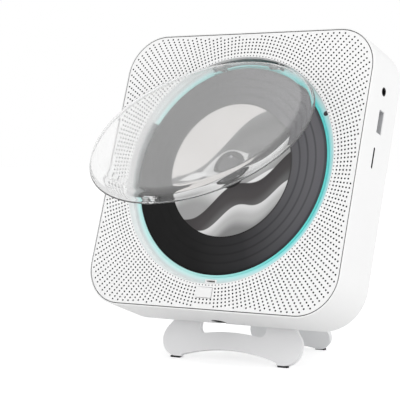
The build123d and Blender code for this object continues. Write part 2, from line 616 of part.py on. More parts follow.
# ---------------------------------------------------------------- cover
def cover_shape():
    """Clear shallow dish, drawn closed."""
    front = COVER_RIM - COVER_HEIGHT
    outside = [(r, front + drop) for r, drop in COVER_OUTSIDE]
    inside = [(r, front + drop) for r, drop in reversed(COVER_INSIDE)]
    dish = turned(*outside, *inside)
    for x0, x1 in ear_spans():
        dish -= rod_x(HINGE_DEPTH, HINGE_HEIGHT, HINGE_EAR_RADIUS + 0.4, x0 - 0.15, x1 + 0.15)
    for side in (-1, 1):
        x0 = side * HINGE_SPREAD - HINGE_BARREL_WIDTH / 2
        x1 = x0 + HINGE_BARREL_WIDTH
        dish += rod_x(HINGE_DEPTH, HINGE_HEIGHT, HINGE_BARREL_RADIUS, x0, x1)
        dish -= rod_x(HINGE_DEPTH, HINGE_HEIGHT, HINGE_PIN_RADIUS + RUN_GAP, x0 - 1, x1 + 1)
    dish += box((-TAB_WIDTH / 2, TAB_WIDTH / 2), (COVER_RIM - 0.6, COVER_RIM + TAB_LENGTH),
                (LATCH_HEIGHT - TAB_THICK / 2, LATCH_HEIGHT + TAB_THICK / 2))
    return dish


def swing_open(shape, angle=COVER_OPEN):
    hinge = Pos(0, HINGE_DEPTH, HINGE_HEIGHT)
    return hinge * Rot(X=-angle) * hinge.inverse() * shape


def cover_pins():
    reach = HINGE_BARREL_WIDTH / 2 + SEAT_GAP * 2 + HINGE_EAR_WIDTH
    return group(*[rod_x(HINGE_DEPTH, HINGE_HEIGHT, HINGE_PIN_RADIUS,
                         side * HINGE_SPREAD - reach, side * HINGE_SPREAD + reach) for side in (-1, 1)])


# ---------------------------------------------------------------- disc and its drive
def disc():
    return washer(DISC_RADIUS, DISC_HOLE_RADIUS, DISC_FACE, DISC_FACE + DISC_THICK)


def disc_label():
    return washer(LABEL_RADIUS, LABEL_INNER_RADIUS, DISC_FACE - LABEL_THICK, DISC_FACE)


def hub_balls():
    places = [polar(BALL_REACH, angle) for angle in (90, 210, 330)]
    return [Pos(x, BALL_DEPTH, z) * Sphere(BALL_RADIUS) for x, z in places]


def turntable():
    back = DISC_FACE + DISC_THICK
    hub = turned((0, HUB_NOSE), (HUB_RADIUS - 0.6, HUB_NOSE), (HUB_RADIUS, HUB_NOSE + 0.6), (HUB_RADIUS, back),
                 (TURNTABLE_RADIUS, back), (TURNTABLE_RADIUS, back + 1.2), (4.0, back + 1.2),
                 (4.0, 10.4), (0, 10.4))
    for ball in hub_balls():
        hub -= ball
    return hub - rod_y(0, 0, SHAFT_RADIUS, HUB_NOSE + 1.5, 11)


def spindle_shaft():
    return rod_y(0, 0, SHAFT_RADIUS, HUB_NOSE + 1.5, MOTOR_FACE + 7.6)


def spindle_motor():
    can = rod_y(0, 0, MOTOR_RADIUS, MOTOR_FACE, MOTOR_FACE + MOTOR_LENGTH)
    can += rod_y(0, 0, 3.0, CHASSIS_FACE - 0.4, MOTOR_FACE)
    can = fillet(can.faces().sort_by(Axis.Y)[-1].edges(), 1.0)
    return can - rod_y(0, 0, SHAFT_RADIUS + RUN_GAP, 0, MOTOR_FACE + 7.7)


# ---------------------------------------------------------------- pickup and its drive
def mech_chassis():
    frame = plate(make_face(Polyline(*CHASSIS_CORNERS, close=True)), CHASSIS_FACE, MOTOR_FACE)
    frame -= rod_y(0, 0, 3.0, 0, 20)
    frame -= box((PICKUP_SLOT[0] - 1, PICKUP_SLOT[1] + 1), (0, 20), (-PICKUP_SLOT_HALF, PICKUP_SLOT_HALF))
    for x, z in DAMPER_PLACES:
        frame -= rod_y(x, z, 2.6, 0, 20)
    for x0 in (RAIL_X[0], RAIL_X[1] - 1.2):
        for z in (-RAIL_SPREAD, RAIL_SPREAD):
            frame += box((x0, x0 + 1.2), (MOTOR_FACE - 0.2, RAIL_DEPTH + 2.4), (z - 2.4, z + 2.4))
            frame -= rod_x(RAIL_DEPTH, z, RAIL_RADIUS, x0 - 1, x0 + 2)
    frame += rod_y(WHEEL_X, WHEEL_CENTRE, 1.0, MOTOR_FACE - 0.2, WHEEL_FACE + WHEEL_THICK + 0.6)
    return frame


def sled_rails():
    return group(*[rod_x(RAIL_DEPTH, z, RAIL_RADIUS, *RAIL_X) for z in (-RAIL_SPREAD, RAIL_SPREAD)])


def dampers():
    grommets = []
    for x, z in DAMPER_PLACES:
        ring = rod_y(x, z, 3.6, DAMPER_SEAT, DAMPER_SEAT + 2.8)
        ring -= washer(4.5, 2.6, CHASSIS_FACE, MOTOR_FACE, x, z)
        grommets.append(ring - rod_y(x, z, 1.6, 0, 20))
    return group(*grommets)


def damper_screws():
    return group(*[rod_y(x, z, 2.6, DAMPER_SEAT + 3.2, DAMPER_SEAT + 4.6) for x, z in DAMPER_PLACES])


def pickup_sled():
    x = LENS_REST
    body = box((x - SLED_HALF, x + SLED_HALF), (MOTOR_FACE + 0.3, 18.0), (-14, 14))
    body += box((x - TOWER[0], x + TOWER[0]), (8.6, MOTOR_FACE + 0.4), (-TOWER[1], TOWER[1]))
    for z in (-RAIL_SPREAD, RAIL_SPREAD):
        body -= rod_x(RAIL_DEPTH, z, RAIL_RADIUS + RUN_GAP, x - 20, x + 20)
    return body - rod_y(x, 0, 3.0, 8.0, 10.5)


def pickup_lens():
    return rod_y(LENS_REST, 0, 2.2, 6.9, 8.6) + rod_y(LENS_REST, 0, 2.9, 8.6, 10.5)


def pickup_rack():
    """Toothed rack under the sled; its teeth hang down to the wheel's pinion."""
    pitch = pi * RACK_MODULE
    x0, x1 = LENS_REST + RACK_REACH[0], LENS_REST + RACK_REACH[1]
    root = RACK_LINE + 1.2 * RACK_MODULE
    tip = RACK_LINE - 0.9 * RACK_MODULE
    lean = tan(radians(20))
    points = [(x0, -14.0), (x0, root)]
    for k in range(int((x1 - x0) / pitch) + 2):
        middle = WHEEL_X + pitch * (k - round((WHEEL_X - x0) / pitch))
        half = pitch / 4 - 0.05
        if middle - half - 0.6 < x0 or middle + half + 0.6 > x1:
            continue
        wide, narrow = half + lean * (root - RACK_LINE), half - lean * (RACK_LINE - tip)
        points += [(middle - wide, root), (middle - narrow, tip), (middle + narrow, tip), (middle + wide, root)]
    points += [(x1, root), (x1, -14.0)]
    return plate(make_face(Polyline(*points, close=True)), RACK_FRONT, RACK_BACK)


def sled_wheel():
    """Large wheel and small pinion in one moulding, on the chassis pin."""
    # the pinion's space faces the rack tooth straight above it, the wheel's tooth faces the motor pinion
    pinion = gear_outline(RACK_MODULE, RACK_PINION_TEETH, shift=90 + 180 / RACK_PINION_TEETH)
    wheel = gear_outline(WHEEL_MODULE, WHEEL_TEETH, shift=-90)
    place = Pos(WHEEL_X, WHEEL_CENTRE)
    body = plate(place * pinion, RACK_FRONT - 0.4, WHEEL_FACE)
    body += plate(place * wheel, WHEEL_FACE, WHEEL_FACE + WHEEL_THICK)
    return body - rod_y(WHEEL_X, WHEEL_CENTRE, 1.0 + RUN_GAP, 0, 30)


def motor_pinion():
    outline = gear_outline(WHEEL_MODULE, MOTOR_PINION_TEETH, shift=90 + 180 / MOTOR_PINION_TEETH)
    gear = plate(Pos(WHEEL_X, PINION_Z) * outline, WHEEL_FACE - 0.2, WHEEL_FACE + WHEEL_THICK + 0.2)
    return gear + rod_y(WHEEL_X, PINION_Z, 0.75, MOTOR_FACE + 0.6, WHEEL_FACE)


def sled_motor():
    can = rod_y(WHEEL_X, PINION_Z, SLED_MOTOR_RADIUS, MOTOR_FACE, MOTOR_FACE + 5.2)
    return can - rod_y(WHEEL_X, PINION_Z, 0.75 + RUN_GAP, MOTOR_FACE + 0.5, 30)


# ---------------------------------------------------------------- electronics and speakers
def main_board():
    board = box(BOARD_X, (BOARD_FACE, BOARD_FACE + BOARD_THICK), BOARD_Z)
    for x, z in PLATE_SCREWS:
        board -= rod_y(x, z, 3.4, 20, 30)
    for x, z in BOARD_POSTS:
        board -= rod_y(x, z, 1.6, 20, 30)
    return board


def board_parts():
    """Chips, capacitors, a coil and connectors on the front of the main board."""
    face = BOARD_FACE
    parts = [box((-20, -6), (face - 1.6, face), (4, 18)), box((10, 18), (face - 1.4, face), (-2, 6)),
             box((24, 32), (face - 3.2, face), (10, 18)), box((-44, -24), (face - 2.4, face), (24, 28)),
             box((34, 46), (face - 3.0, face), (22, 27)), box((-52, -38), (face - 3.0, face), (-36, -31))]
    parts += [rod_y(x, z, 2.6, face - 4.6, face) for x, z in ((36, -20), (43, -20), (36, -28), (43, -28))]
    return group(*parts)


def socket_board():
    return box(SIDE_BOARD_X, (SIDE_BOARD_FACE, SIDE_BOARD_FACE + BOARD_THICK), SIDE_BOARD_Z)


def headphone_jack():
    nose = HALF - SEAT_GAP
    inner = nose - JACK_LENGTH
    body = box((inner - 1.0, INNER_HALF - SEAT_GAP), (JACK_DEPTH - JACK_HALF, SIDE_BOARD_FACE),
               (JACK_HEIGHT - JACK_HALF, JACK_HEIGHT + JACK_HALF))
    body += rod_x(JACK_DEPTH, JACK_HEIGHT, JACK_NOSE_RADIUS, INNER_HALF - 0.2, nose)
    return body - rod_x(JACK_DEPTH, JACK_HEIGHT, JACK_RADIUS, inner, nose + 1)


def usb_shell():
    x1 = HALF - 0.3
    shell = centred((x1 - USB_LENGTH, x1), USB_DEPTH, USB_HEIGHT, USB_SHELL)
    room = (USB_SHELL[0] - 2 * USB_METAL, USB_SHELL[1] - 2 * USB_METAL)
    return shell - centred((x1 - USB_LENGTH + 1.5, x1 + 1), USB_DEPTH, USB_HEIGHT, room)


def usb_tongue():
    inner = HALF - 0.3 - USB_LENGTH + 1.5
    return centred((inner, HALF - USB_TONGUE_SET), USB_DEPTH + USB_TONGUE_OFFSET, USB_HEIGHT, USB_TONGUE)


def card_socket():
    x1 = INNER_HALF - SEAT_GAP
    shell = centred((x1 - CARD_LENGTH, x1), CARD_DEPTH, CARD_HEIGHT, CARD_SHELL)
    shell -= centred((x1 - CARD_LENGTH + 0.8, x1 + 1), CARD_DEPTH, CARD_HEIGHT, CARD_ROOM)
    return shell + box((x1 - 13, x1 - 2), (CARD_DEPTH + CARD_SHELL[1] / 2 - 0.1, SIDE_BOARD_FACE),
                       (CARD_HEIGHT - 6, CARD_HEIGHT + 6))


def power_jack():
    z0 = -INNER_HALF + SEAT_GAP
    face = -HALF + INLET_NOSE_SET
    half = INLET_BODY[0] / 2
    block = box((INLET_X - half, INLET_X + half), (INLET_DEPTH - half + 0.4, BACK_INNER),
                (z0, z0 + INLET_BODY[1]))
    block += rod_z(INLET_X, INLET_DEPTH, INLET_RADIUS - SEAT_GAP, face, z0 + 0.5)
    block -= rod_z(INLET_X, INLET_DEPTH, INLET_BORE_RADIUS, face - 1, face + INLET_BORE_DEPTH)
    return block + rod_z(INLET_X, INLET_DEPTH, INLET_PIN_RADIUS, face + 0.8, face + INLET_BORE_DEPTH + 0.5)


def speaker_frames():
    frames = []
    face = PANEL_THICK + CLOTH_THICK
    for side in (-1, 1):
        flange = washer(SPEAKER_RADIUS, SPEAKER_RADIUS - 2.4, face, face + 1.4)
        basket = turned((SPEAKER_RADIUS - 1.0, face + 1.0), (SPEAKER_RADIUS, face + 1.0), (9.0, face + 8.0),
                        (7.6, face + 8.0))
        frames.append(Pos(side * SPEAKER_X, 0, SPEAKER_HEIGHT) * (flange + basket))
    return group(*frames)


def speaker_cones():
    face = PANEL_THICK + CLOTH_THICK
    cone = turned((0, face + 4.2), (4.0, face + 3.4), (5.2, face + 4.4), (SPEAKER_RADIUS - 2.8, face + 0.6),
                  (SPEAKER_RADIUS - 2.5, face + 1.2), (5.6, face + 5.4), (4.2, face + 7.6), (0, face + 7.6))
    return group(*[Pos(side * SPEAKER_X, 0, SPEAKER_HEIGHT) * cone for side in (-1, 1)])


def speaker_magnets():
    face = PANEL_THICK + CLOTH_THICK + 8.0
    return group(*[rod_y(side * SPEAKER_X, SPEAKER_HEIGHT, 9.0, face, face + 6.5) for side in (-1, 1)])


# ---------------------------------------------------------------- top buttons
def top_button(i):
    x = button_x(i)
    cap = rod_z(x, BUTTON_DEPTH, BUTTON_RADIUS, INNER_HALF - 6.4, HALF + BUTTON_PROUD)
    cap = fillet(cap.faces().sort_by(Axis.Z)[-1].edges(), 0.5)
    return cap + rod_z(x, BUTTON_DEPTH, BUTTON_RADIUS + 1.2, INNER_HALF - 1.3, INNER_HALF - 0.1)


def key_board():
    return box(KEY_BOARD_X, KEY_BOARD_Y, (KEY_BOARD_Z, KEY_BOARD_Z + BOARD_THICK))


def key_switches():
    z0 = KEY_BOARD_Z + BOARD_THICK
    switches = []
    for i in range(len(BUTTON_NAMES)):
        x = button_x(i)
        body = box((x - 3, x + 3), (BUTTON_DEPTH - 3, BUTTON_DEPTH + 3), (z0, INNER_HALF - 8.2))
        switches.append(body + rod_z(x, BUTTON_DEPTH, 1.6, INNER_HALF - 8.3, INNER_HALF - 7.2))
    return group(*switches)


# ---------------------------------------------------------------- screws
def housing_screws():
    screws = []
    for x, z in POST_PLACES:
        shank = rod_y(x, z, SCREW_RADIUS - 0.15, PANEL_THICK + 1.5, SCREW_HEAD_SEAT + 0.1)
        screws.append(shank + rod_y(x, z, SCREW_HEAD_RADIUS, SCREW_HEAD_SEAT, SCREW_HEAD_SEAT + 1.8))
    return group(*screws)


def deck_screws():
    screws = []
    for x, z in DECK_SCREWS:
        seat = DECK_EAR_FACE + DECK_EAR_THICK
        shank = rod_y(x, z, 0.85, PANEL_THICK + 0.4, seat + 0.1)
        screws.append(shank + rod_y(x, z, 2.2, seat, seat + 1.4))
    return group(*screws)


# ---------------------------------------------------------------- table stand
def foot_pad(x, y):
    """Rubber pad under a foot, flat on the table."""
    return box((x - PAD_LENGTH / 2, x + PAD_LENGTH / 2), (y - PAD_WIDTH / 2, y + PAD_WIDTH / 2), (0, PAD_HEIGHT))


def front_pads():
    middle = leaned((CASE_DEPTH + PLATE_BACK) / 2, FOOT_BOTTOM)[0]
    return [foot_pad(side * FOOT_SPREAD, middle) for side in (-1, 1)]


def stand_outline():
    lobes = [Pos(side * FOOT_SPREAD, FOOT_CENTRE) * Circle(FOOT_RADIUS) for side in (-1, 1)]
    neck = Pos(0, (STAND_TOP + FOOT_CENTRE) / 2) * Rectangle(STAND_NECK_WIDTH, STAND_TOP - FOOT_CENTRE)
    # shoulder that runs from the neck down into the lobes
    spread = FOOT_SPREAD + FOOT_RADIUS * 0.9
    half = [(STAND_NECK_WIDTH / 2, SHOULDER_TOP), (FOOT_SPREAD + 3.0, SHOULDER_BEND), (spread, FOOT_CENTRE + 4.6),
            (FOOT_SPREAD, FOOT_BOTTOM + 0.01)]
    other = [(-x, z) for x, z in reversed(half)]
    shoulder = make_face(Polyline(*half, *other, close=True))
    outline = neck + shoulder + lobes
    arch = Pos(0, STAND_ARCH_TOP - STAND_ARCH_RADIUS) * Circle(STAND_ARCH_RADIUS)
    reach = Pos(0, FOOT_BOTTOM - 20) * Rectangle(2 * (FOOT_SPREAD - 4.0), 60)
    outline -= arch & reach
    window_arch = Pos(0, STAND_ARCH_TOP - STAND_ARCH_RADIUS) * Circle(STAND_ARCH_RADIUS + WINDOW_WEB)
    low = STAND_ARCH_TOP + WINDOW_WEB - WINDOW_SAG
    window = Pos(0, (low + WINDOW_TOP) / 2) * RectangleRounded(WINDOW_WIDTH, WINDOW_TOP - low, WINDOW_CORNER)
    return outline - (window - window_arch)


def stand_plate():
    body = plate(stand_outline(), CASE_DEPTH, PLATE_BACK)
    outer = LEG_TOP_WIDTH / 2 + 0.4
    for side in (-1, 1):
        span = sorted((side * outer, side * (outer + LEG_EAR_WIDTH)))
        ear = rod_x(LEG_AXIS_DEPTH, LEG_HINGE_HEIGHT, LEG_EAR_RADIUS, *span)
        ear += box(span, (PLATE_BACK - 0.2, LEG_AXIS_DEPTH),
                   (LEG_HINGE_HEIGHT - LEG_EAR_RADIUS, LEG_HINGE_HEIGHT + LEG_EAR_RADIUS))
        body += ear - box(span, (30, PLATE_BACK - 0.2), (-10, 30))
        body -= rod_x(LEG_AXIS_DEPTH, LEG_HINGE_HEIGHT, LEG_PIN_RADIUS, span[0] - 1, span[1] + 1)
    for x, z in PLATE_SCREWS:
        body -= rod_y(x, z, SCREW_RADIUS + 0.3, 30, 40)
    body = stand_up(body)
    for pad in front_pads():
        body -= pad
    return body


def stand_screws():
    screws = []
    for x, z in PLATE_SCREWS:
        shank = rod_y(x, z, SCREW_RADIUS, CASE_DEPTH - PLATE_BOSS_LENGTH + 1.5, PLATE_BACK + 0.1)
        screws.append(shank + rod_y(x, z, SCREW_HEAD_RADIUS, PLATE_BACK, PLATE_BACK + 1.1))
    return group(*screws)


def leg_pin():
    reach = LEG_TOP_WIDTH / 2 + 0.4 + LEG_EAR_WIDTH
    return rod_x(LEG_AXIS_DEPTH, LEG_HINGE_HEIGHT, LEG_PIN_RADIUS, -reach, reach)


def rear_pads():
    return [foot_pad(side * LEG_FOOT_SPREAD, LEG_FOOT_Y) for side in (-1, 1)]


def kick_leg():
    """Leg that folds out behind; drawn hanging from its hinge, then splayed."""
    foot = LEG_FOOT_RADIUS - LEG_LENGTH
    lobes = [Pos(side * LEG_FOOT_SPREAD, foot) * Circle(LEG_FOOT_RADIUS) for side in (-1, 1)]
    spread = LEG_FOOT_SPREAD + LEG_FOOT_RADIUS * 0.9
    half = LEG_TOP_WIDTH / 2
    right = [(half, -2), (half, foot + LEG_FLARE), (spread, foot + 3.4), (LEG_FOOT_SPREAD, 0.01 - LEG_LENGTH)]
    left = [(-x, z) for x, z in reversed(right)]
    blade = make_face(Polyline(*right, *left, close=True))
    outline = blade + lobes
    arch = Pos(0, LEG_ARCH_RISE - LEG_ARCH_RADIUS - LEG_LENGTH) * Circle(LEG_ARCH_RADIUS)
    outline -= arch & (Pos(0, -LEG_LENGTH - 20) * Rectangle(2 * (LEG_FOOT_SPREAD - 3), 60))
    leg = plate(outline, -LEG_THICK / 2, LEG_THICK / 2)
    leg += rod_x(0, 0, 2.6, -half, half)
    leg += box((-half, half), (-LEG_THICK / 2, LEG_THICK / 2), (-3, LEG_HEEL))
    leg -= rod_x(0, 0, LEG_PIN_RADIUS + RUN_GAP, -half - 1, half + 1)
    leg = Pos(0, LEG_AXIS_Y, LEG_AXIS_Z) * Rot(X=LEG_SPLAY) * leg
    for pad in rear_pads():
        leg -= pad
    return leg


# ---------------------------------------------------------------- the whole player
def all_nodes():
    leaning = {
        "rear_housing": rear_housing(), "front_panel": front_panel(), "dust_cloth": dust_cloth(),
        "deck": deck(), "light_ring": light_ring(), "led_board": led_board(), "led_lamps": led_lamps(),
        "ir_window": ir_window(), "latch_catch": latch_catch(), "open_key": open_key(),
        "open_switch": open_switch(), "disc_cover": swing_open(cover_shape()), "cover_pins": cover_pins(),
        "disc": disc(), "disc_label": disc_label(), "turntable": turntable(),
        "clamp_balls": group(*hub_balls()), "spindle_shaft": spindle_shaft(), "spindle_motor": spindle_motor(),
        "mech_chassis": mech(mech_chassis()), "sled_rails": mech(sled_rails()), "dampers": mech(dampers()),
        "damper_screws": mech(damper_screws()), "pickup_sled": mech(pickup_sled()),
        "pickup_lens": mech(pickup_lens()), "pickup_rack": mech(pickup_rack()),
        "sled_wheel": mech(sled_wheel()), "motor_pinion": mech(motor_pinion()),
        "sled_motor": mech(sled_motor()), "main_board": main_board(), "board_parts": board_parts(),
        "socket_board": socket_board(), "headphone_jack": headphone_jack(), "usb_shell": usb_shell(),
        "usb_tongue": usb_tongue(), "card_socket": card_socket(), "power_jack": power_jack(),
        "speaker_frames": speaker_frames(), "speaker_cones": speaker_cones(),
        "speaker_magnets": speaker_magnets(), "key_board": key_board(), "key_switches": key_switches(),
        "housing_screws": housing_screws(), "deck_screws": deck_screws(), "stand_screws": stand_screws(),
        "leg_pin": leg_pin(),
    }
    for i, name in enumerate(BUTTON_NAMES):
        leaning[name] = top_button(i)
    nodes = {name: stand_up(shape) for name, shape in leaning.items()}
    nodes["stand_plate"] = stand_plate()
    nodes["front_pads"] = group(*front_pads())
    nodes["kick_leg"] = kick_leg()
    nodes["rear_pads"] = group(*rear_pads())
    return nodes


def overall(shapes):
    """Lowest and highest corner round all shapes."""
    spans = [shape.bounding_box() for shape in shapes]
    low = Vector(*[min(getattr(s.min, a) for s in spans) for a in "XYZ"])
    high = Vector(*[max(getattr(s.max, a) for s in spans) for a in "XYZ"])
    return low, high


def main():
    nodes = all_nodes()
    low, high = overall(nodes.values())
    shift = Pos(-(low.X + high.X) / 2, -(low.Y + high.Y) / 2, -low.Z)
    os.makedirs("parts", exist_ok=True)
    for name, shape in nodes.items():
        export_step(shift * shape, f"parts/{name}.step")
    move = shift.position
    print("overall size", high - low)
    print("lean", LEAN, "shift", move)
    for label, (y, z) in {"cover hinge": (HINGE_DEPTH, HINGE_HEIGHT), "disc axis": (DISC_FACE, 0),
                          "leg hinge": (LEG_AXIS_DEPTH, LEG_HINGE_HEIGHT)}.items():
        wy, wz = leaned(y, z)
        print(label, "y", round(wy + move.Y, 3), "z", round(wz + move.Z, 3))


main()
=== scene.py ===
"""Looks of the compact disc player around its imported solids.

Body frame: X to the right, Y into the player, Z up along the face, origin at the centre of the
front face.  New pieces are drawn in that frame in millimetres and placed by BODY.
"""
import json
import math
import bpy
import bmesh
from mathutils import Matrix, Vector
from mathutils.geometry import delaunay_2d_cdt


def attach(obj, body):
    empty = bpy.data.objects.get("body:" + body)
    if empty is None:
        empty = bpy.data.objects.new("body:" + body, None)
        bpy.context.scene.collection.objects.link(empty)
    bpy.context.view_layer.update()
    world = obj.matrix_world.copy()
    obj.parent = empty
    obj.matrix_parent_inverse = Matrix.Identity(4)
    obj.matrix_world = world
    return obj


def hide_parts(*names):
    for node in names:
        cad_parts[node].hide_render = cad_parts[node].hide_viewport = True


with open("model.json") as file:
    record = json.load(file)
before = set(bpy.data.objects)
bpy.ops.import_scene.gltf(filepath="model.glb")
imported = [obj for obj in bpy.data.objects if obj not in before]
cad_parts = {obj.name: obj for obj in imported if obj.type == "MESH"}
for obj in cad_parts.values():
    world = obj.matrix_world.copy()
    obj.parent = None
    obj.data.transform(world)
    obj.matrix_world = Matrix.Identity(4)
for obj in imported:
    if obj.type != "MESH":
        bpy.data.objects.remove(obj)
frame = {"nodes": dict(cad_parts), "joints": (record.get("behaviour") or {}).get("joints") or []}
NODES = frame["nodes"]
JOINTS = {j["name"]: j for j in frame["joints"]}
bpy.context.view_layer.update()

# ---------------------------------------------------------------- frames
MM = 0.001
SPIN_DEPTH = 4.4 * MM            # depth of the spindle joint's point behind the face
_axis = Vector(JOINTS["spindle_spin"]["axis"]).normalized()
_spin = Vector(JOINTS["spindle_spin"]["pos_m"])
FACE_CENTRE = _spin - SPIN_DEPTH * _axis
LEAN = math.atan2(-_axis.z, _axis.y)
BODY = Matrix.Translation(FACE_CENTRE) @ Matrix.Rotation(-LEAN, 4, "X")
COVER_OPEN = math.radians(35.5)
HINGE = Vector((0, 3.8 * MM, 61.0 * MM))
OPEN = Matrix.Translation(HINGE) @ Matrix.Rotation(-COVER_OPEN, 4, "X") @ Matrix.Translation(-HINGE)


# ---------------------------------------------------------------- meshes
def mesh_piece(name, verts, faces, materials, body,
               replaces=(), place=BODY, face_slots=None, smooth=40):
    """Mesh from body-frame millimetres, riding on a CAD body."""
    mesh = bpy.data.meshes.new(name)
    mesh.from_pydata([(x * MM, y * MM, z * MM) for x, y, z in verts], [], faces)
    for material in materials:
        mesh.materials.append(material)
    if face_slots:
        mesh.polygons.foreach_set("material_index", face_slots)
    mesh.validate()
    obj = bpy.data.objects.new(name, mesh)
    bpy.context.scene.collection.objects.link(obj)
    obj.matrix_world = place
    bm = bmesh.new()
    bm.from_mesh(mesh)
    bmesh.ops.remove_doubles(bm, verts=bm.verts, dist=1e-7)
    bmesh.ops.recalc_face_normals(bm, faces=bm.faces)
    bm.to_mesh(mesh)
    bm.free()
    if smooth:
        mesh.polygons.foreach_set("use_smooth", [True] * len(mesh.polygons))
        mesh.set_sharp_from_angle(angle=math.radians(smooth))
    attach(obj, body)
    if replaces:
        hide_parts(*replaces)
    return obj


def lathe(profile, steps=256, closed=True, start=0.0, end=360.0):
    """Verts and faces turned about the disc's axis from (radius, depth) points."""
    full = abs(end - start) >= 360
    count = steps if full else steps + 1
    verts, faces = [], []
    for i in range(count):
        a = math.radians(start + (end - start) * i / steps)
        for r, y in profile:
            verts.append((r * math.cos(a), y, r * math.sin(a)))
    n = len(profile)
    spans = n if closed else n - 1
    for i in range(steps):
        p, q = i * n, ((i + 1) % count) * n
        for k in range(spans):
            m = (k + 1) % n
            faces.append((p + k, p + m, q + m, q + k))
    if not full and closed:
        faces.append(tuple(range(n)))
        faces.append(tuple(range((count - 1) * n, count * n)))
    return verts, faces


def join(*parts):
    """Several (verts, faces) pairs as one."""
    verts, faces = [], []
    for v, f in parts:
        base = len(verts)
        verts += v
        faces += [tuple(base + i for i in face) for face in f]
    return verts, faces


def arc(cx, cy, r, a0, a1, steps):
    """Points on an arc, angles in degrees."""
    angles = [math.radians(a0 + (a1 - a0) * i / steps) for i in range(steps + 1)]
    return [(cx + r * math.cos(a), cy + r * math.sin(a)) for a in angles]


def circle(cx, cy, r, sides):
    angles = [2 * math.pi * i / sides for i in range(sides)]
    return [(cx + r * math.cos(a), cy + r * math.sin(a)) for a in angles]


def rounded_square(half, radius, steps=14):
    """Outline in X and Z, counter-clockwise."""
    points = []
    for k, (sx, sz) in enumerate(((1, 1), (-1, 1), (-1, -1), (1, -1))):
        points += arc(sx * (half - radius), sz * (half - radius), radius, 90 * k, 90 * k + 90, steps)
    return points


def rounded_box_outline(cx, cz, wide, high, radius, steps=4):
    points = []
    for k, (sx, sz) in enumerate(((1, 1), (-1, 1), (-1, -1), (1, -1))):
        x, z = cx + sx * (wide / 2 - radius), cz + sz * (high / 2 - radius)
        points += arc(x, z, radius, 90 * k, 90 * k + 90, steps)
    return points


# ---------------------------------------------------------------- materials
def linear(c):
    c = c / 255
    return c / 12.92 if c <= 0.04045 else ((c + 0.055) / 1.055) ** 2.4


def rgb(r, g=None, b=None):
    g, b = (r, r) if g is None else (g, b)
    return (linear(r), linear(g), linear(b), 1.0)


class Nodes:
    """Short way to wire a material."""

    def __init__(self, name):
        self.material = bpy.data.materials.new(name)
        self.material.use_nodes = True
        self.tree = self.material.node_tree
        self.tree.nodes.clear()
        self.out = self.add("ShaderNodeOutputMaterial")

    def add(self, kind, **values):
        node = self.tree.nodes.new(kind)
        for key, value in values.items():
            setattr(node, key, value)
        return node

    def link(self, a, b):
        self.tree.links.new(a, b)

    def math(self, op, a, b=None, clamp=False):
        node = self.add("ShaderNodeMath", operation=op, use_clamp=clamp)
        for i, value in enumerate((a, b)):
            if value is None:
                continue
            if isinstance(value, (int, float)):
                node.inputs[i].default_value = value
            else:
                self.link(value, node.inputs[i])
        return node.outputs[0]

    def coords(self, row=False):
        """Object coordinates as body-frame millimetres; row is for a mesh drawn in the row frame."""
        tex = self.add("ShaderNodeTexCoord")
        place = self.add("ShaderNodeMapping", vector_type="TEXTURE")
        self.link(tex.outputs["Object"], place.inputs["Vector"])
        place.inputs["Scale"].default_value = (MM, MM, MM)
        if row:
            place.inputs["Location"].default_value = FACE_CENTRE
            place.inputs["Rotation"].default_value = (-LEAN, 0, 0)
        return place.outputs["Vector"]

    def split(self, vector):
        node = self.add("ShaderNodeSeparateXYZ")
        self.link(vector, node.inputs[0])
        return node.outputs

    def noise(self, vector, scale, detail=2.0, rough=0.5):
        node = self.add("ShaderNodeTexNoise")
        self.link(vector, node.inputs["Vector"])
        node.inputs["Scale"].default_value = scale
        node.inputs["Detail"].default_value = detail
        node.inputs["Roughness"].default_value = rough
        return node.outputs["Fac"]

    def ramp(self, fac, stops, interpolation="LINEAR"):
        node = self.add("ShaderNodeValToRGB")
        node.color_ramp.interpolation = interpolation
        self.link(fac, node.inputs[0])
        elements = node.color_ramp.elements
        while len(elements) < len(stops):
            elements.new(0.5)
        for element, (position, colour) in zip(elements, stops):
            element.position = position
            element.color = colour
        return node.outputs[0]

    def mix(self, fac, a, b, blend="MIX"):
        node = self.add("ShaderNodeMix", data_type="RGBA", blend_type=blend)
        for socket, value in ((node.inputs[0], fac), (node.inputs[6], a), (node.inputs[7], b)):
            if isinstance(value, (int, float)):
                socket.default_value = value
            elif isinstance(value, tuple):
                socket.default_value = value
            else:
                self.link(value, socket)
        return node.outputs[2]

    def bump(self, height, strength, distance):
        node = self.add("ShaderNodeBump")
        self.link(height, node.inputs["Height"])
        node.inputs["Strength"].default_value = strength
        node.inputs["Distance"].default_value = distance
        return node.outputs[0]

    def shader(self, colour, rough, normal=None, **sockets):
        node = self.add("ShaderNodeBsdfPrincipled")
        for name, value in (("Base Color", colour), ("Roughness", rough), ("Normal", normal)):
            if value is None:
                continue
            if isinstance(value, (int, float, tuple)):
                node.inputs[name].default_value = value
            else:
                self.link(value, node.inputs[name])
        for name, value in sockets.items():
            socket = node.inputs[name.replace("_", " ")]
            if isinstance(value, (int, float, tuple)):
                socket.default_value = value
            else:
                self.link(value, socket)
        self.link(node.outputs[0], self.out.inputs[0])
        return node


def moulded(name, colour, rough=0.42, grain=9.0, strength=0.10, depth=0.03, vary=0.03, **sockets):
    """Moulded plastic or painted metal: fine grain, faint tone drift and uneven gloss."""
    n = Nodes(name)
    place = n.coords()
    drift = n.noise(place, 0.035, 3.0)
    darker = tuple(c * (1 - vary) for c in colour[:3]) + (1,)
    tone = n.mix(drift, darker, colour)
    fine = n.noise(place, grain, 2.0, 0.6)
    span = n.add("ShaderNodeMapRange")
    n.link(n.noise(place, 0.4, 3.0), span.inputs["Value"])
    span.inputs["To Min"].default_value = rough - 0.05
    span.inputs["To Max"].default_value = rough + 0.05
    n.shader(tone, span.outputs[0], n.bump(fine, strength, depth * MM), **sockets)
    return n.material


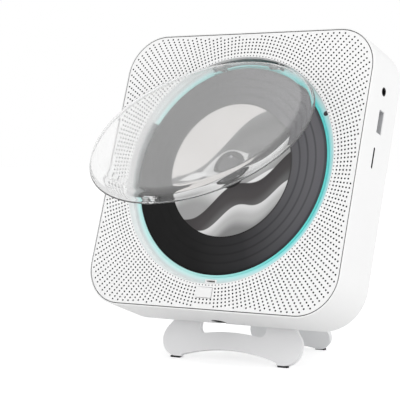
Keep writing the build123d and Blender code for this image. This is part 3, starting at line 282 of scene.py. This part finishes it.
CLOTH_THREADS = 16.0             # radians of weave per millimetre
DISC_R, DISC_FACE, DISC_BACK = 60.0, 3.8, 5.0
TRACKS_START = 38.0
SMOOTH_GAPS = (43.7, 48.6, 53.4)  # smooth rings between the disc's tracks
LABEL_IN, LABEL_OUT, LABEL_FACE = 10.5, 38.3, 3.68

WHITE = moulded("case_white", rgb(246), rough=0.38)
PANEL_WHITE = moulded("panel_white", rgb(248), rough=0.45, grain=5.0, strength=0.12)
STAND_GREY = moulded("stand_paint", rgb(240, 240, 241), rough=0.42, grain=6.0, strength=0.15)
# a slightly darker and rougher copy of the stand paint for the leg: its darkness is painted shade
LEG_SHADED_GREY = moulded("leg_paint_shaded", rgb(234, 235, 236), rough=0.45, grain=6.0, strength=0.15)
RUBBER = moulded("pad_rubber", rgb(38), rough=0.8, grain=3.0, strength=0.3)
BLACK = moulded("black_plastic", rgb(24, 24, 26), rough=0.45)
# painted shade: near-black for the hole walls and the sheet's edge at the seam, where white plastic stands in
# shade
PAINTED_SHADE = moulded("painted_shade", rgb(16, 16, 18), rough=0.8)
STEEL = moulded("steel", rgb(165, 167, 170), rough=0.3, Metallic=1.0)
TINNED = moulded("tinned_steel", rgb(205, 206, 208), rough=0.5, Metallic=0.35)
DARK = moulded("dark_lens", rgb(38, 36, 40), rough=0.12)
BOARD = moulded("board_green", rgb(32, 84, 52), rough=0.4)
HUB = moulded("hub_dark", rgb(34, 34, 36), rough=0.3)
TONGUE_WHITE = moulded("tongue_white", rgb(225), rough=0.4)
BRASS = moulded("brass", rgb(186, 150, 84), rough=0.35, Metallic=1.0)
MAGNET = moulded("magnet_iron", rgb(70, 70, 72), rough=0.5, Metallic=0.8)
GEAR = moulded("gear_white", rgb(232, 230, 222), rough=0.4)
PAPER = moulded("cone_paper", rgb(46, 44, 42), rough=0.9, grain=2.0, strength=0.4)


def cloth_material():
    """Black woven cloth behind the holes."""
    n = Nodes("cloth_black")
    x, y, z = n.split(n.coords(row=True))
    warp = n.math("SINE", n.math("MULTIPLY", x, CLOTH_THREADS))
    weft = n.math("SINE", n.math("MULTIPLY", z, CLOTH_THREADS))
    weave = n.math("MULTIPLY", warp, weft)
    tone = n.ramp(n.math("MULTIPLY_ADD", weave, 0.5, clamp=True), [(0.0, rgb(12)), (1.0, rgb(24))])
    n.shader(tone, 0.95, n.bump(weave, 0.4, 0.05 * MM))
    return n.material


def ring_material(row=True):
    """Lit ring in painted lamp light: cyan beside the disc, pale towards the panel, stronger on the right and
    below.
    """
    n = Nodes("ring_glow" if row else "lip_glow")
    place = n.coords(row=row)
    x, y, z = n.split(place)
    radius = n.math("SQRT", n.math("ADD", n.math("POWER", x, 2.0), n.math("POWER", z, 2.0)))
    across = n.math("DIVIDE", n.math("SUBTRACT", radius, 60.0), 6.4, clamp=True)
    strong = n.ramp(across, [(0.0, rgb(78, 202, 198)), (0.16, rgb(95, 216, 213)), (0.25, rgb(124, 220, 220)),
                             (0.34, rgb(150, 224, 226)), (0.48, rgb(182, 226, 228)), (0.64, rgb(204, 231, 231)),
                             (0.8, rgb(203, 215, 216)), (1.0, rgb(236, 240, 240))])
    pale = n.ramp(across, [(0.0, rgb(174, 222, 220)), (0.16, rgb(180, 226, 223)),
                           (0.34, rgb(196, 230, 228)), (0.5, rgb(203, 222, 222)),
                           (0.64, rgb(204, 212, 213)), (0.8, rgb(226, 231, 231)),
                           (1.0, rgb(242, 243, 243))])
    # share of the strongly lit colours, painted lamp light: full on the right, none on the left
    side = n.math("DIVIDE", n.math("ADD", n.math("MULTIPLY", x, 0.94), n.math("MULTIPLY", z, 0.34)), 63.0)
    share = n.math("DIVIDE", n.math("ADD", side, 0.6), 1.0, clamp=True)
    tone = n.mix(share, pale, strong)
    # the lamps behind the ring light it most between the disc and the middle of its width
    inner = n.ramp(across, [(0.0, rgb(60)), (0.19, rgb(60)), (0.26, rgb(96)), (0.4, rgb(90)),
                            (0.7, rgb(50)), (1.0, rgb(0))])
    n.shader(tone, 0.4, n.bump(n.noise(place, 3.0), 0.05, 0.02 * MM),
             Emission_Color=tone, Emission_Strength=inner)
    return n.material


def deck_material():
    """Dark moulding behind the disc, tinged by the lamps along its channel."""
    n = Nodes("deck_grey")
    place = n.coords(row=True)
    x, y, z = n.split(place)
    radius = n.math("SQRT", n.math("ADD", n.math("POWER", x, 2.0), n.math("POWER", z, 2.0)))
    across = n.math("DIVIDE", n.math("SUBTRACT", radius, 56.0), 12.0, clamp=True)
    tone = n.ramp(across, [(0.0, rgb(34, 36, 38)), (0.3, rgb(36, 50, 52)), (0.45, rgb(42, 68, 70)),
                           (0.78, rgb(46, 64, 66)), (0.86, rgb(200, 202, 203))])
    n.shader(tone, 0.5, n.bump(n.noise(place, 7.0), 0.15, 0.03 * MM))
    return n.material


def disc_material():
    """Black grooved face: tracks between smooth rings, with a painted sheen lighter towards the right."""
    n = Nodes("disc_black")
    place = n.coords()
    x, y, z = n.split(place)
    radius = n.math("SQRT", n.math("ADD", n.math("POWER", x, 2.0), n.math("POWER", z, 2.0)))
    reach = 22.5
    across = n.math("DIVIDE", n.math("SUBTRACT", radius, TRACKS_START), reach, clamp=True)
    stops = [(0.0, rgb(74)), (0.03, rgb(74)), (0.06, rgb(110, 109, 113))]
    for gap in SMOOTH_GAPS:
        middle = (gap - TRACKS_START) / reach
        stops += [(middle - 0.04, rgb(108, 107, 111)), (middle, rgb(78, 78, 82)),
                  (middle + 0.04, rgb(108, 107, 111))]
    stops += [(0.9, rgb(102, 101, 106)), (0.93, rgb(76, 78, 82)), (0.99, rgb(70, 72, 76))]
    tone = n.ramp(across, stops)
    # painted sheen: a broad painted reflection towards the right, nearly black at the lower left
    along = n.math("ADD", n.math("MULTIPLY", x, 0.93), n.math("MULTIPLY", z, 0.36))
    side = n.math("DIVIDE", along, DISC_R)
    share = n.math("MULTIPLY_ADD", side, 0.5, clamp=True)
    share.node.inputs[2].default_value = 0.5
    painted_sheen = n.ramp(share, [(0.0, rgb(18)), (0.25, rgb(44)), (0.5, rgb(105)), (0.75, rgb(205)), (1.0, rgb(255))])
    tone = n.mix(1.0, tone, painted_sheen, "MULTIPLY")
    grooves = n.math("SINE", n.math("MULTIPLY", radius, 9.0))
    tangent = n.add("ShaderNodeTangent", direction_type="RADIAL", axis="Y")
    node = n.shader(tone, 0.42, n.bump(grooves, 0.06, 0.02 * MM),
                    Anisotropic=0.6, Specular_IOR_Level=0.16)
    n.link(tangent.outputs[0], node.inputs["Tangent"])
    return n.material


def label_material():
    """Printed label: soft overlapping dunes in greys, a generic pattern."""
    n = Nodes("label_print")
    place = n.coords()
    x, y, z = n.split(place)
    drift = n.noise(place, 0.03, 2.0)

    def curve(level, slope, height, wave, phase):
        line = n.math("ADD", n.math("MULTIPLY", x, slope), level)
        swing = n.math("MULTIPLY", n.math("SINE", n.math("ADD", n.math("MULTIPLY", x, wave), phase)), height)
        return n.math("SUBTRACT", n.math("ADD", line, swing), z)     # positive below the curve

    def layer(under, below, stops, depth, edge=0.5):
        body = n.math("DIVIDE", below, depth, clamp=True)
        mask = n.math("DIVIDE", n.math("ADD", below, edge / 2), edge, clamp=True)
        return n.mix(mask, under, n.ramp(body, stops, "EASE"))

    tone = n.mix(drift, rgb(205, 201, 198), rgb(226, 223, 221))
    # each dune: its curve, its shades from the crest down, and the depth that they spread over
    dunes = [
        ((19.0, 0.75, 4.0, 0.12, 0.6), [(0.0, rgb(96)), (0.3, rgb(58)), (0.7, rgb(84)), (1.0, rgb(40))], 24.0),
        ((7.0, 0.42, 5.0, 0.14, 2.2), [(0.0, rgb(214)), (0.3, rgb(188)), (0.7, rgb(150)), (1.0, rgb(112))], 22.0),
        ((-5.0, 0.1, 4.5, 0.12, 4.0), [(0.0, rgb(226)), (0.4, rgb(204)), (1.0, rgb(150))], 18.0),
        ((-14.0, 0.6, 3.5, 0.17, 1.2), [(0.0, rgb(30, 24, 26)), (0.5, rgb(44, 38, 40)), (1.0, rgb(86))], 16.0),
        ((-27.0, 0.5, 3.0, 0.2, 0.2), [(0.0, rgb(214)), (0.5, rgb(176)), (1.0, rgb(120))], 14.0),
    ]
    for shape, shades, depth in dunes:
        tone = layer(tone, curve(*shape), shades, depth)
    speck = n.noise(place, 2.2, 2.0, 0.7)
    grain = n.mix(0.12, tone, speck, "OVERLAY")
    n.shader(grain, 0.3, n.bump(speck, 0.03, 0.01 * MM))
    return n.material


def clear_material(name, through, tint, rough=0.03):
    """Clear plastic with a faint uneven gloss."""
    n = Nodes(name)
    place = n.coords()
    smear = n.noise(place, 0.08, 3.0)
    span = n.add("ShaderNodeMapRange")
    n.link(smear, span.inputs["Value"])
    span.inputs["To Min"].default_value = rough
    span.inputs["To Max"].default_value = rough + 0.03
    tone = n.mix(smear, tint, rgb(255))
    n.shader(tone, span.outputs[0], None, Transmission_Weight=through, IOR=1.46)
    return n.material


CLOTH = cloth_material()
RING = ring_material()
RING_LIP = ring_material(row=False)
DECK = deck_material()
DISC = disc_material()
LABEL = label_material()
HAZE = clear_material("cover_face", 0.89, rgb(254))
CLEAR = clear_material("cover_wall", 0.97, rgb(250))
LENS = clear_material("lens_clear", 0.95, rgb(225, 228, 245))

SLOT_LOOKS = {
    "case_white": WHITE, "cloth_black": CLOTH, "deck_grey": DECK, "ring_glow": RING,
    "board_white": GEAR, "lamp_glow": RING, "lens_dark": DARK, "black_plastic": BLACK,
    "steel": STEEL, "motor_steel": STEEL, "polished_steel": STEEL, "chassis_black": BLACK,
    "rubber": RUBBER, "board_green": BOARD, "chip_black": BLACK, "socket_metal": TINNED,
    "tongue_white": TONGUE_WHITE, "cone_paper": PAPER, "magnet_iron": MAGNET,
    "stand_alloy": STAND_GREY, "clear_plastic": CLEAR, "disc_black": DISC,
    "label_grey": LABEL, "hub_grey": HUB, "lens_clear": LENS, "gear_white": GEAR, "brass": BRASS,
}
NODE_LOOKS = {"kick_leg": LEG_SHADED_GREY, "card_socket": BLACK}
for name, node in NODES.items():
    look = NODE_LOOKS.get(name) or SLOT_LOOKS[node.data.materials[0].name.split(".")[0]]
    node.data.materials.clear()
    node.data.materials.append(look)


# ---------------------------------------------------------------- front panel
PANEL_HALF, PANEL_CORNER, PANEL_THICK, EDGE = 80.0, 22.7, 2.0, 0.2
WELL, WELL_EDGE, COLLAR_DEPTH, WELL_DEEP = 66.0, 0.12, 4.2, 65.1
HOLE_R, SPOKES, PITCH, FIRST_RING, RINGS = 0.525, 200, 2.0, 66.75, 20
KEY_X, KEY_Z, KEY_SIZE = 0.0, -70.9, (10.0, 6.2)
FIRST_HOLE_R = 0.34          # the ring beside the well is partly closed by the collar behind it
HOLE_SIDES = 12
PLAIN_EDGE = 1.45            # hole centre to the panel's outline
WELL_SIDES = 360
COLLAR_ARCS = ((111.5, 266.2), (-86.2, 68.5))    # degrees, open at the hinge and the catch
KEY_CLEAR_X, KEY_CLEAR_Z = 5.9, (-73.9, -67.6)


def inside_rounded(x, z, half, radius):
    dx, dz = abs(x) - (half - radius), abs(z) - (half - radius)
    if dx <= 0 or dz <= 0:
        return abs(x) <= half and abs(z) <= half
    return math.hypot(dx, dz) <= radius


def hole_places():
    spots = []
    for ring in range(RINGS):
        r = FIRST_RING + ring * PITCH
        for spoke in range(SPOKES):
            a = 2 * math.pi * spoke / SPOKES
            x, z = r * math.cos(a), r * math.sin(a)
            if not inside_rounded(x, z, PANEL_HALF - PLAIN_EDGE, PANEL_CORNER - PLAIN_EDGE):
                continue
            if abs(x) < KEY_CLEAR_X and KEY_CLEAR_Z[0] < z < KEY_CLEAR_Z[1]:
                continue
            spots.append((x, z, FIRST_HOLE_R if ring == 0 else HOLE_R))
    return spots


def front_panel():
    """Perforated sheet with a rolled edge, its collar into the well and the key's opening."""
    spots = hole_places()
    points, edges = [], []

    def loop(outline):
        base = len(points)
        points.extend(outline)
        edges.extend((base + i, base + (i + 1) % len(outline)) for i in range(len(outline)))

    outer = rounded_square(PANEL_HALF - EDGE, PANEL_CORNER - EDGE)
    loop(outer)
    loop(circle(0, 0, WELL + WELL_EDGE, WELL_SIDES))
    loop(rounded_box_outline(KEY_X, KEY_Z, *KEY_SIZE, 0.6))
    for x, z, r in spots:
        loop(circle(x, z, r, HOLE_SIDES))
    out_points, _, out_faces, _, _, _ = delaunay_2d_cdt([Vector(p) for p in points], edges, [], 0, 1e-6)
    grid = {}
    for x, z, r in spots:
        grid.setdefault((int(x // 2), int(z // 2)), []).append((x, z, r))

    def solid(face):
        cx = sum(out_points[i][0] for i in face) / 3
        cz = sum(out_points[i][1] for i in face) / 3
        if math.hypot(cx, cz) < WELL + WELL_EDGE * 0.9:
            return False
        if not inside_rounded(cx, cz, PANEL_HALF - EDGE, PANEL_CORNER - EDGE):
            return False
        if abs(cx - KEY_X) < KEY_SIZE[0] / 2 and abs(cz - KEY_Z) < KEY_SIZE[1] / 2:
            return False
        return all(math.hypot(cx - x, cz - z) >= r * 0.99 for x, z, r in near(grid, (cx, cz)))

    kept = [f for f in out_faces if solid(f)]
    count = len(out_points)
    verts = [(p[0], 0.0, p[1]) for p in out_points] + [(p[0], PANEL_THICK, p[1]) for p in out_points]
    faces = [tuple(f) for f in kept] + [tuple(count + i for i in reversed(f)) for f in kept]
    used = {}
    for f in kept:
        for i in range(3):
            a, b = f[i], f[(i + 1) % 3]
            used[(min(a, b), max(a, b))] = used.get((min(a, b), max(a, b)), 0) + 1
    boundary = [e for e, k in used.items() if k == 1]
    slots = [0] * len(faces)
    rim = PANEL_HALF - EDGE
    for a, b in boundary:
        pa, pb = out_points[a], out_points[b]
        middle = (pa + pb) / 2
        on_outer = max(abs(middle[0]), abs(middle[1])) > rim - 25 and not inside_rounded(
            middle[0] * 1.001, middle[1] * 1.001, rim, PANEL_CORNER - EDGE)
        on_well = math.hypot(*middle) < WELL + WELL_EDGE + 0.01
        if on_outer or on_well:
            continue                                # these two edges carry rolled strips
        faces.append((a, b, count + b, count + a))
        # walls of the holes carry the painted shade, the key opening's walls stay white
        to_hole = min(math.hypot(middle[0] - x, middle[1] - z) for x, z, _ in near(grid, middle))
        slots.append(1 if to_hole < 0.6 else 0)
    return verts, faces, slots, outer


def near(grid, point):
    """Holes in the grid cells round a point, and one far away so that there always is one."""
    gx, gz = int(point[0] // 2), int(point[1] // 2)
    found = [(1e3, 1e3, 0)]
    for i in (-1, 0, 1):
        for j in (-1, 0, 1):
            found += grid.get((gx + i, gz + j), [])
    return found


def loft(loops):
    """Quads between successive closed loops of equal length."""
    n = len(loops[0])
    verts = [p for ring in loops for p in ring]
    faces = []
    for k in range(len(loops) - 1):
        for i in range(n):
            j = (i + 1) % n
            faces.append((k * n + i, k * n + j, (k + 1) * n + j, (k + 1) * n + i))
    return verts, faces


def build_panel():
    verts, faces, slots, outer = front_panel()
    turn = [math.radians(a) for a in (0, 22.5, 45, 67.5, 90)]
    roll = [(EDGE * (1 - math.sin(a)), EDGE * (1 - math.cos(a))) for a in turn]
    rolled = []
    for inset, depth in roll + [(0.0, PANEL_THICK), (EDGE, PANEL_THICK)]:
        ring = rounded_square(PANEL_HALF - inset, PANEL_CORNER - inset)
        rolled.append([(x, depth, z) for x, z in ring])
    edge = loft(rolled)
    strip = [(WELL + WELL_EDGE * (1 - math.sin(math.radians(a))), WELL_EDGE * (1 - math.cos(math.radians(a))))
             for a in (0, 30, 60, 90)]
    strip += [(WELL - 0.43, PANEL_THICK), (WELL + WELL_EDGE, PANEL_THICK)]
    mouth = lathe(strip, WELL_SIDES, closed=False)
    collar_profile = [(WELL - 0.43, PANEL_THICK), (WELL_DEEP, COLLAR_DEPTH),
                      (WELL_DEEP + 0.2, COLLAR_DEPTH + 0.1), (WELL + 0.15, COLLAR_DEPTH + 0.1),
                      (WELL + 0.15, PANEL_THICK)]
    collar = join(*(lathe(collar_profile, 200, True, *span) for span in COLLAR_ARCS))
    all_verts, all_faces = join((verts, faces), edge, mouth, collar)
    # the sheet's edge in the gap to the casing carries a dark strip of painted shade
    bands = len(edge[1]) // len(outer)
    slots += [0] * (len(outer) * (bands - 2)) + [1] * (2 * len(outer))
    slots += [0] * (len(all_faces) - len(slots))
    return mesh_piece("perforated_panel", all_verts, all_faces, [PANEL_WHITE, PAINTED_SHADE], "player",
                      ("front_panel",), face_slots=slots, smooth=35)


# ---------------------------------------------------------------- clear cover
COVER_FRONT, COVER_RIM, WALL = -1.5, 4.1, 1.6
COVER_SIDES = 288
BARREL_X, BARREL_R, BARREL_HALF, BARREL_BORE = 18.7, 2.0, 2.5, 0.8


def cover_profile():
    """Outer and inner outline of the shallow dish, as (radius, depth)."""
    outer = [(0.0, 0.0), (30.0, 0.0), (54.0, 0.0), (57.6, 0.02), (58.8, 0.14), (59.9, 0.42), (60.9, 0.95),
             (61.8, 1.75), (62.6, 2.75), (63.3, 3.85), (63.9, 4.85), (64.2, 5.35)]
    rim = [(64.25, COVER_RIM - 0.1), (64.15, COVER_RIM), (62.9, COVER_RIM), (62.72, COVER_RIM - 0.2)]
    inner = [(62.4, 4.6), (61.8, 3.6), (61.1, 2.75), (60.2, 2.1), (59.2, 1.75), (58.0, 1.62), (56.0, WALL),
             (30.0, WALL), (0.0, WALL)]
    return ([(r, COVER_FRONT + drop) for r, drop in outer] + rim
            + [(r, COVER_FRONT + drop) for r, drop in inner])


def rod_x(y, z, r, x0, x1, bore, edge=0.15, steps=32):
    """Tube along X with a small chamfer, for a hinge barrel."""
    rings = [(bore, x0), (r - edge, x0), (r, x0 + edge), (r, x1 - edge), (r - edge, x1), (bore, x1)]
    verts = [(x, b, c) for q, x in rings for b, c in circle(y, z, q, steps)]
    faces = []
    for k in range(len(rings)):
        m = (k + 1) % len(rings)
        for i in range(steps):
            j = (i + 1) % steps
            faces.append((k * steps + i, k * steps + j, m * steps + j, m * steps + i))
    return verts, faces


def block(x, y, z, edge=0.2):
    """Box with chamfered upright edges, each span given as a pair."""
    outline = [(x[0] + edge, z[0]), (x[1] - edge, z[0]), (x[1], z[0] + edge), (x[1], z[1] - edge),
               (x[1] - edge, z[1]), (x[0] + edge, z[1]), (x[0], z[1] - edge), (x[0], z[0] + edge)]
    n = len(outline)
    verts, faces = loft([[(a, y[0], b) for a, b in outline], [(a, y[1], b) for a, b in outline]])
    return verts, faces + [tuple(range(n)), tuple(range(n, 2 * n))]


def build_cover():
    """Clear dish with its hinge barrels, hook and finger grip."""
    profile = cover_profile()
    dish, dish_faces = lathe(profile, COVER_SIDES, closed=False)
    n = len(profile)
    on_face = [profile[k][0] < 58.5 and profile[k + 1][0] < 58.5 for k in range(n - 1)]
    slots = [0 if on_face[k] else 1 for _ in range(COVER_SIDES) for k in range(n - 1)]
    barrels = [rod_x(HINGE.y / MM, HINGE.z / MM, BARREL_R, x - BARREL_HALF, x + BARREL_HALF, BARREL_BORE)
               for x in (-BARREL_X, BARREL_X)]
    hook = block((-2.3, 2.3), (3.5, 4.3), (-64.0, -63.2))
    grip = block((-0.6, 9.0), (0.4, 3.0), (-64.2, -62.2))
    verts, faces = join((dish, dish_faces), *barrels, hook, grip)
    slots += [1] * (len(faces) - len(slots))
    cover = mesh_piece("clear_cover", verts, faces, [HAZE, CLEAR], "cover",
                       ("disc_cover",), place=BODY @ OPEN, face_slots=slots, smooth=50)
    cover.visible_shadow = False
    return cover


# ---------------------------------------------------------------- disc and label
def build_disc():
    """Disc with slightly sunk smooth rings and a rounded rim."""
    profile = [(7.5, 4.9), (7.5, 3.95), (7.65, DISC_FACE), (LABEL_OUT + 0.1, DISC_FACE)]
    for gap in SMOOTH_GAPS:
        profile += [(gap - 0.9, DISC_FACE), (gap - 0.5, DISC_FACE + 0.03),
                    (gap + 0.5, DISC_FACE + 0.03), (gap + 0.9, DISC_FACE)]
    profile += [(58.2, DISC_FACE), (58.6, DISC_FACE + 0.04), (59.75, DISC_FACE + 0.06), (DISC_R, 4.0),
                (DISC_R, 4.9), (59.8, DISC_BACK), (7.7, DISC_BACK)]
    verts, faces = lathe(profile, 288)
    return mesh_piece("grooved_disc", verts, faces, [DISC], "spindle", ("disc",))


def build_ring_lip():
    """Lit inner edge of the ring beside the disc, open at the finger notch and the hinge."""
    profile = [(60.2, 3.95), (61.28, 3.9), (61.28, 4.6), (60.2, 4.6)]
    verts, faces = join(lathe(profile, 260, True, 195.5, 428.0), lathe(profile, 60, True, 112.0, 153.5))
    return mesh_piece("ring_lip", verts, faces, [RING_LIP], "player")


CARD_DEPTH, CARD_HEIGHT = 14.8, 11.5         # centre of the card slot
CARD_THROAT = (79.2, 81.27)                  # from inside the wall to its outer face


def build_card_throat():
    """Dark sheet on the walls of the card slot in the right side: painted shade inside the slot."""
    def outline(high, wide):
        half = (high - wide) / 2
        return (arc(CARD_DEPTH, CARD_HEIGHT + half, wide / 2, 0, 180, 12)
                + arc(CARD_DEPTH, CARD_HEIGHT - half, wide / 2, 180, 360, 12))

    large, small = outline(11.76, 1.56), outline(11.4, 1.2)
    inside, outside = CARD_THROAT
    rings = ((inside, small), (inside, large), (outside, large), (outside, small), (inside, small))
    loops = [[(x, y, z) for y, z in ring] for x, ring in rings]
    verts, faces = loft(loops)
    return mesh_piece("card_slot_shade", verts, faces, [BLACK], "player")


def build_label():
    """Thin printed ring on the disc."""
    edge = LABEL_FACE + 0.02
    profile = [(LABEL_IN, DISC_FACE), (LABEL_IN, edge), (LABEL_IN + 0.1, LABEL_FACE),
               (LABEL_OUT - 0.1, LABEL_FACE), (LABEL_OUT, edge), (LABEL_OUT, DISC_FACE)]
    verts, faces = lathe(profile, 240)
    return mesh_piece("printed_label", verts, faces, [LABEL], "spindle", ("disc_label",))


build_panel()
build_cover()
build_disc()
build_ring_lip()
build_card_throat()
build_label()


# ---------------------------------------------------------------- stage, lights and camera
FLOOR_HALF, FLOOR_TONE, FLOOR_GLOW = 4.0, 0.88, 0.35
WORLD_LEVEL = 0.84
LIGHT_TARGET = (0, 0, 0.1)
LAMPS = {                        # place and size in metres, power in watts
    "key": ((-0.9, -1.4, 1.3), (1.4, 1.4), 3.6),
    "fill": ((1.5, -0.6, 0.9), (1.2, 1.2), 8),
}
CAMERA_PLACE = (0.44472884, -0.66784906, -0.20780531)    # metres in the body frame
SENSOR_WIDTH, LENS_LENGTH = 36.0, 134.396


def stage_floor():
    """Plain pale floor that reads as white and keeps the shadow."""
    n = Nodes("floor_white")
    camera = n.add("ShaderNodeLightPath").outputs["Is Camera Ray"]
    plain = n.add("ShaderNodeBsdfDiffuse")
    plain.inputs["Color"].default_value = (FLOOR_TONE, FLOOR_TONE, FLOOR_TONE, 1)
    glow = n.add("ShaderNodeEmission")
    n.link(n.math("MULTIPLY", camera, FLOOR_GLOW), glow.inputs["Strength"])
    both = n.add("ShaderNodeAddShader")
    n.link(plain.outputs[0], both.inputs[0])
    n.link(glow.outputs[0], both.inputs[1])
    n.link(both.outputs[0], n.out.inputs[0])
    mesh = bpy.data.meshes.new("floor")
    size = FLOOR_HALF
    corners = [(-size, -size, 0), (size, -size, 0), (size, size, 0), (-size, size, 0)]
    mesh.from_pydata(corners, [], [(0, 1, 2, 3)])
    mesh.materials.append(n.material)
    floor = bpy.data.objects.new("floor", mesh)
    bpy.context.scene.collection.objects.link(floor)


def world_light(strength):
    """Soft white surroundings, full white where the camera sees them."""
    world = bpy.data.worlds.new("studio")
    bpy.context.scene.world = world
    world.use_nodes = True
    tree = world.node_tree
    tree.nodes.clear()
    out = tree.nodes.new("ShaderNodeOutputWorld")
    path = tree.nodes.new("ShaderNodeLightPath")
    back = tree.nodes.new("ShaderNodeBackground")
    level = tree.nodes.new("ShaderNodeMix")
    seen = tree.nodes.new("ShaderNodeMath")
    seen.operation = "MAXIMUM"
    tree.links.new(path.outputs["Is Camera Ray"], seen.inputs[0])
    tree.links.new(path.outputs["Is Transmission Ray"], seen.inputs[1])
    tree.links.new(seen.outputs[0], level.inputs[0])
    level.inputs[2].default_value = strength
    level.inputs[3].default_value = 1.0
    back.inputs[0].default_value = (1, 1, 1, 1)
    tree.links.new(level.outputs[0], back.inputs[1])
    tree.links.new(back.outputs[0], out.inputs[0])


def area_light(name, place, size, power):
    light = bpy.data.lights.new(name, "AREA")
    light.shape = "RECTANGLE"
    light.size, light.size_y = size
    light.energy = power
    obj = bpy.data.objects.new(name, light)
    bpy.context.scene.collection.objects.link(obj)
    obj.location = place
    aim = Vector(LIGHT_TARGET) - Vector(place)
    obj.rotation_euler = aim.to_track_quat("-Z", "Y").to_euler()


def camera():
    """Camera at the photographed angle, its axes given in the row frame."""
    data = bpy.data.cameras.new("camera")
    data.sensor_width = SENSOR_WIDTH
    data.lens = LENS_LENGTH
    obj = bpy.data.objects.new("camera", data)
    bpy.context.scene.collection.objects.link(obj)
    right = Vector((0.8340024, 0.5517607, 0.00012))
    ahead = Vector((-0.5512676, 0.8332662, -0.0420884))
    up = Vector((-0.0233227, 0.0350357, 0.9991139))
    place = Matrix((right, up, -ahead)).transposed().to_4x4()
    place.translation = BODY @ Vector(CAMERA_PLACE)
    obj.matrix_world = place
    data.clip_start, data.clip_end = 0.05, 20
    bpy.context.scene.camera = obj


stage_floor()
world_light(WORLD_LEVEL)
for lamp, (place, size, power) in LAMPS.items():
    area_light(lamp, place, size, power)
camera()
bpy.context.scene.view_settings.view_transform = "Standard"
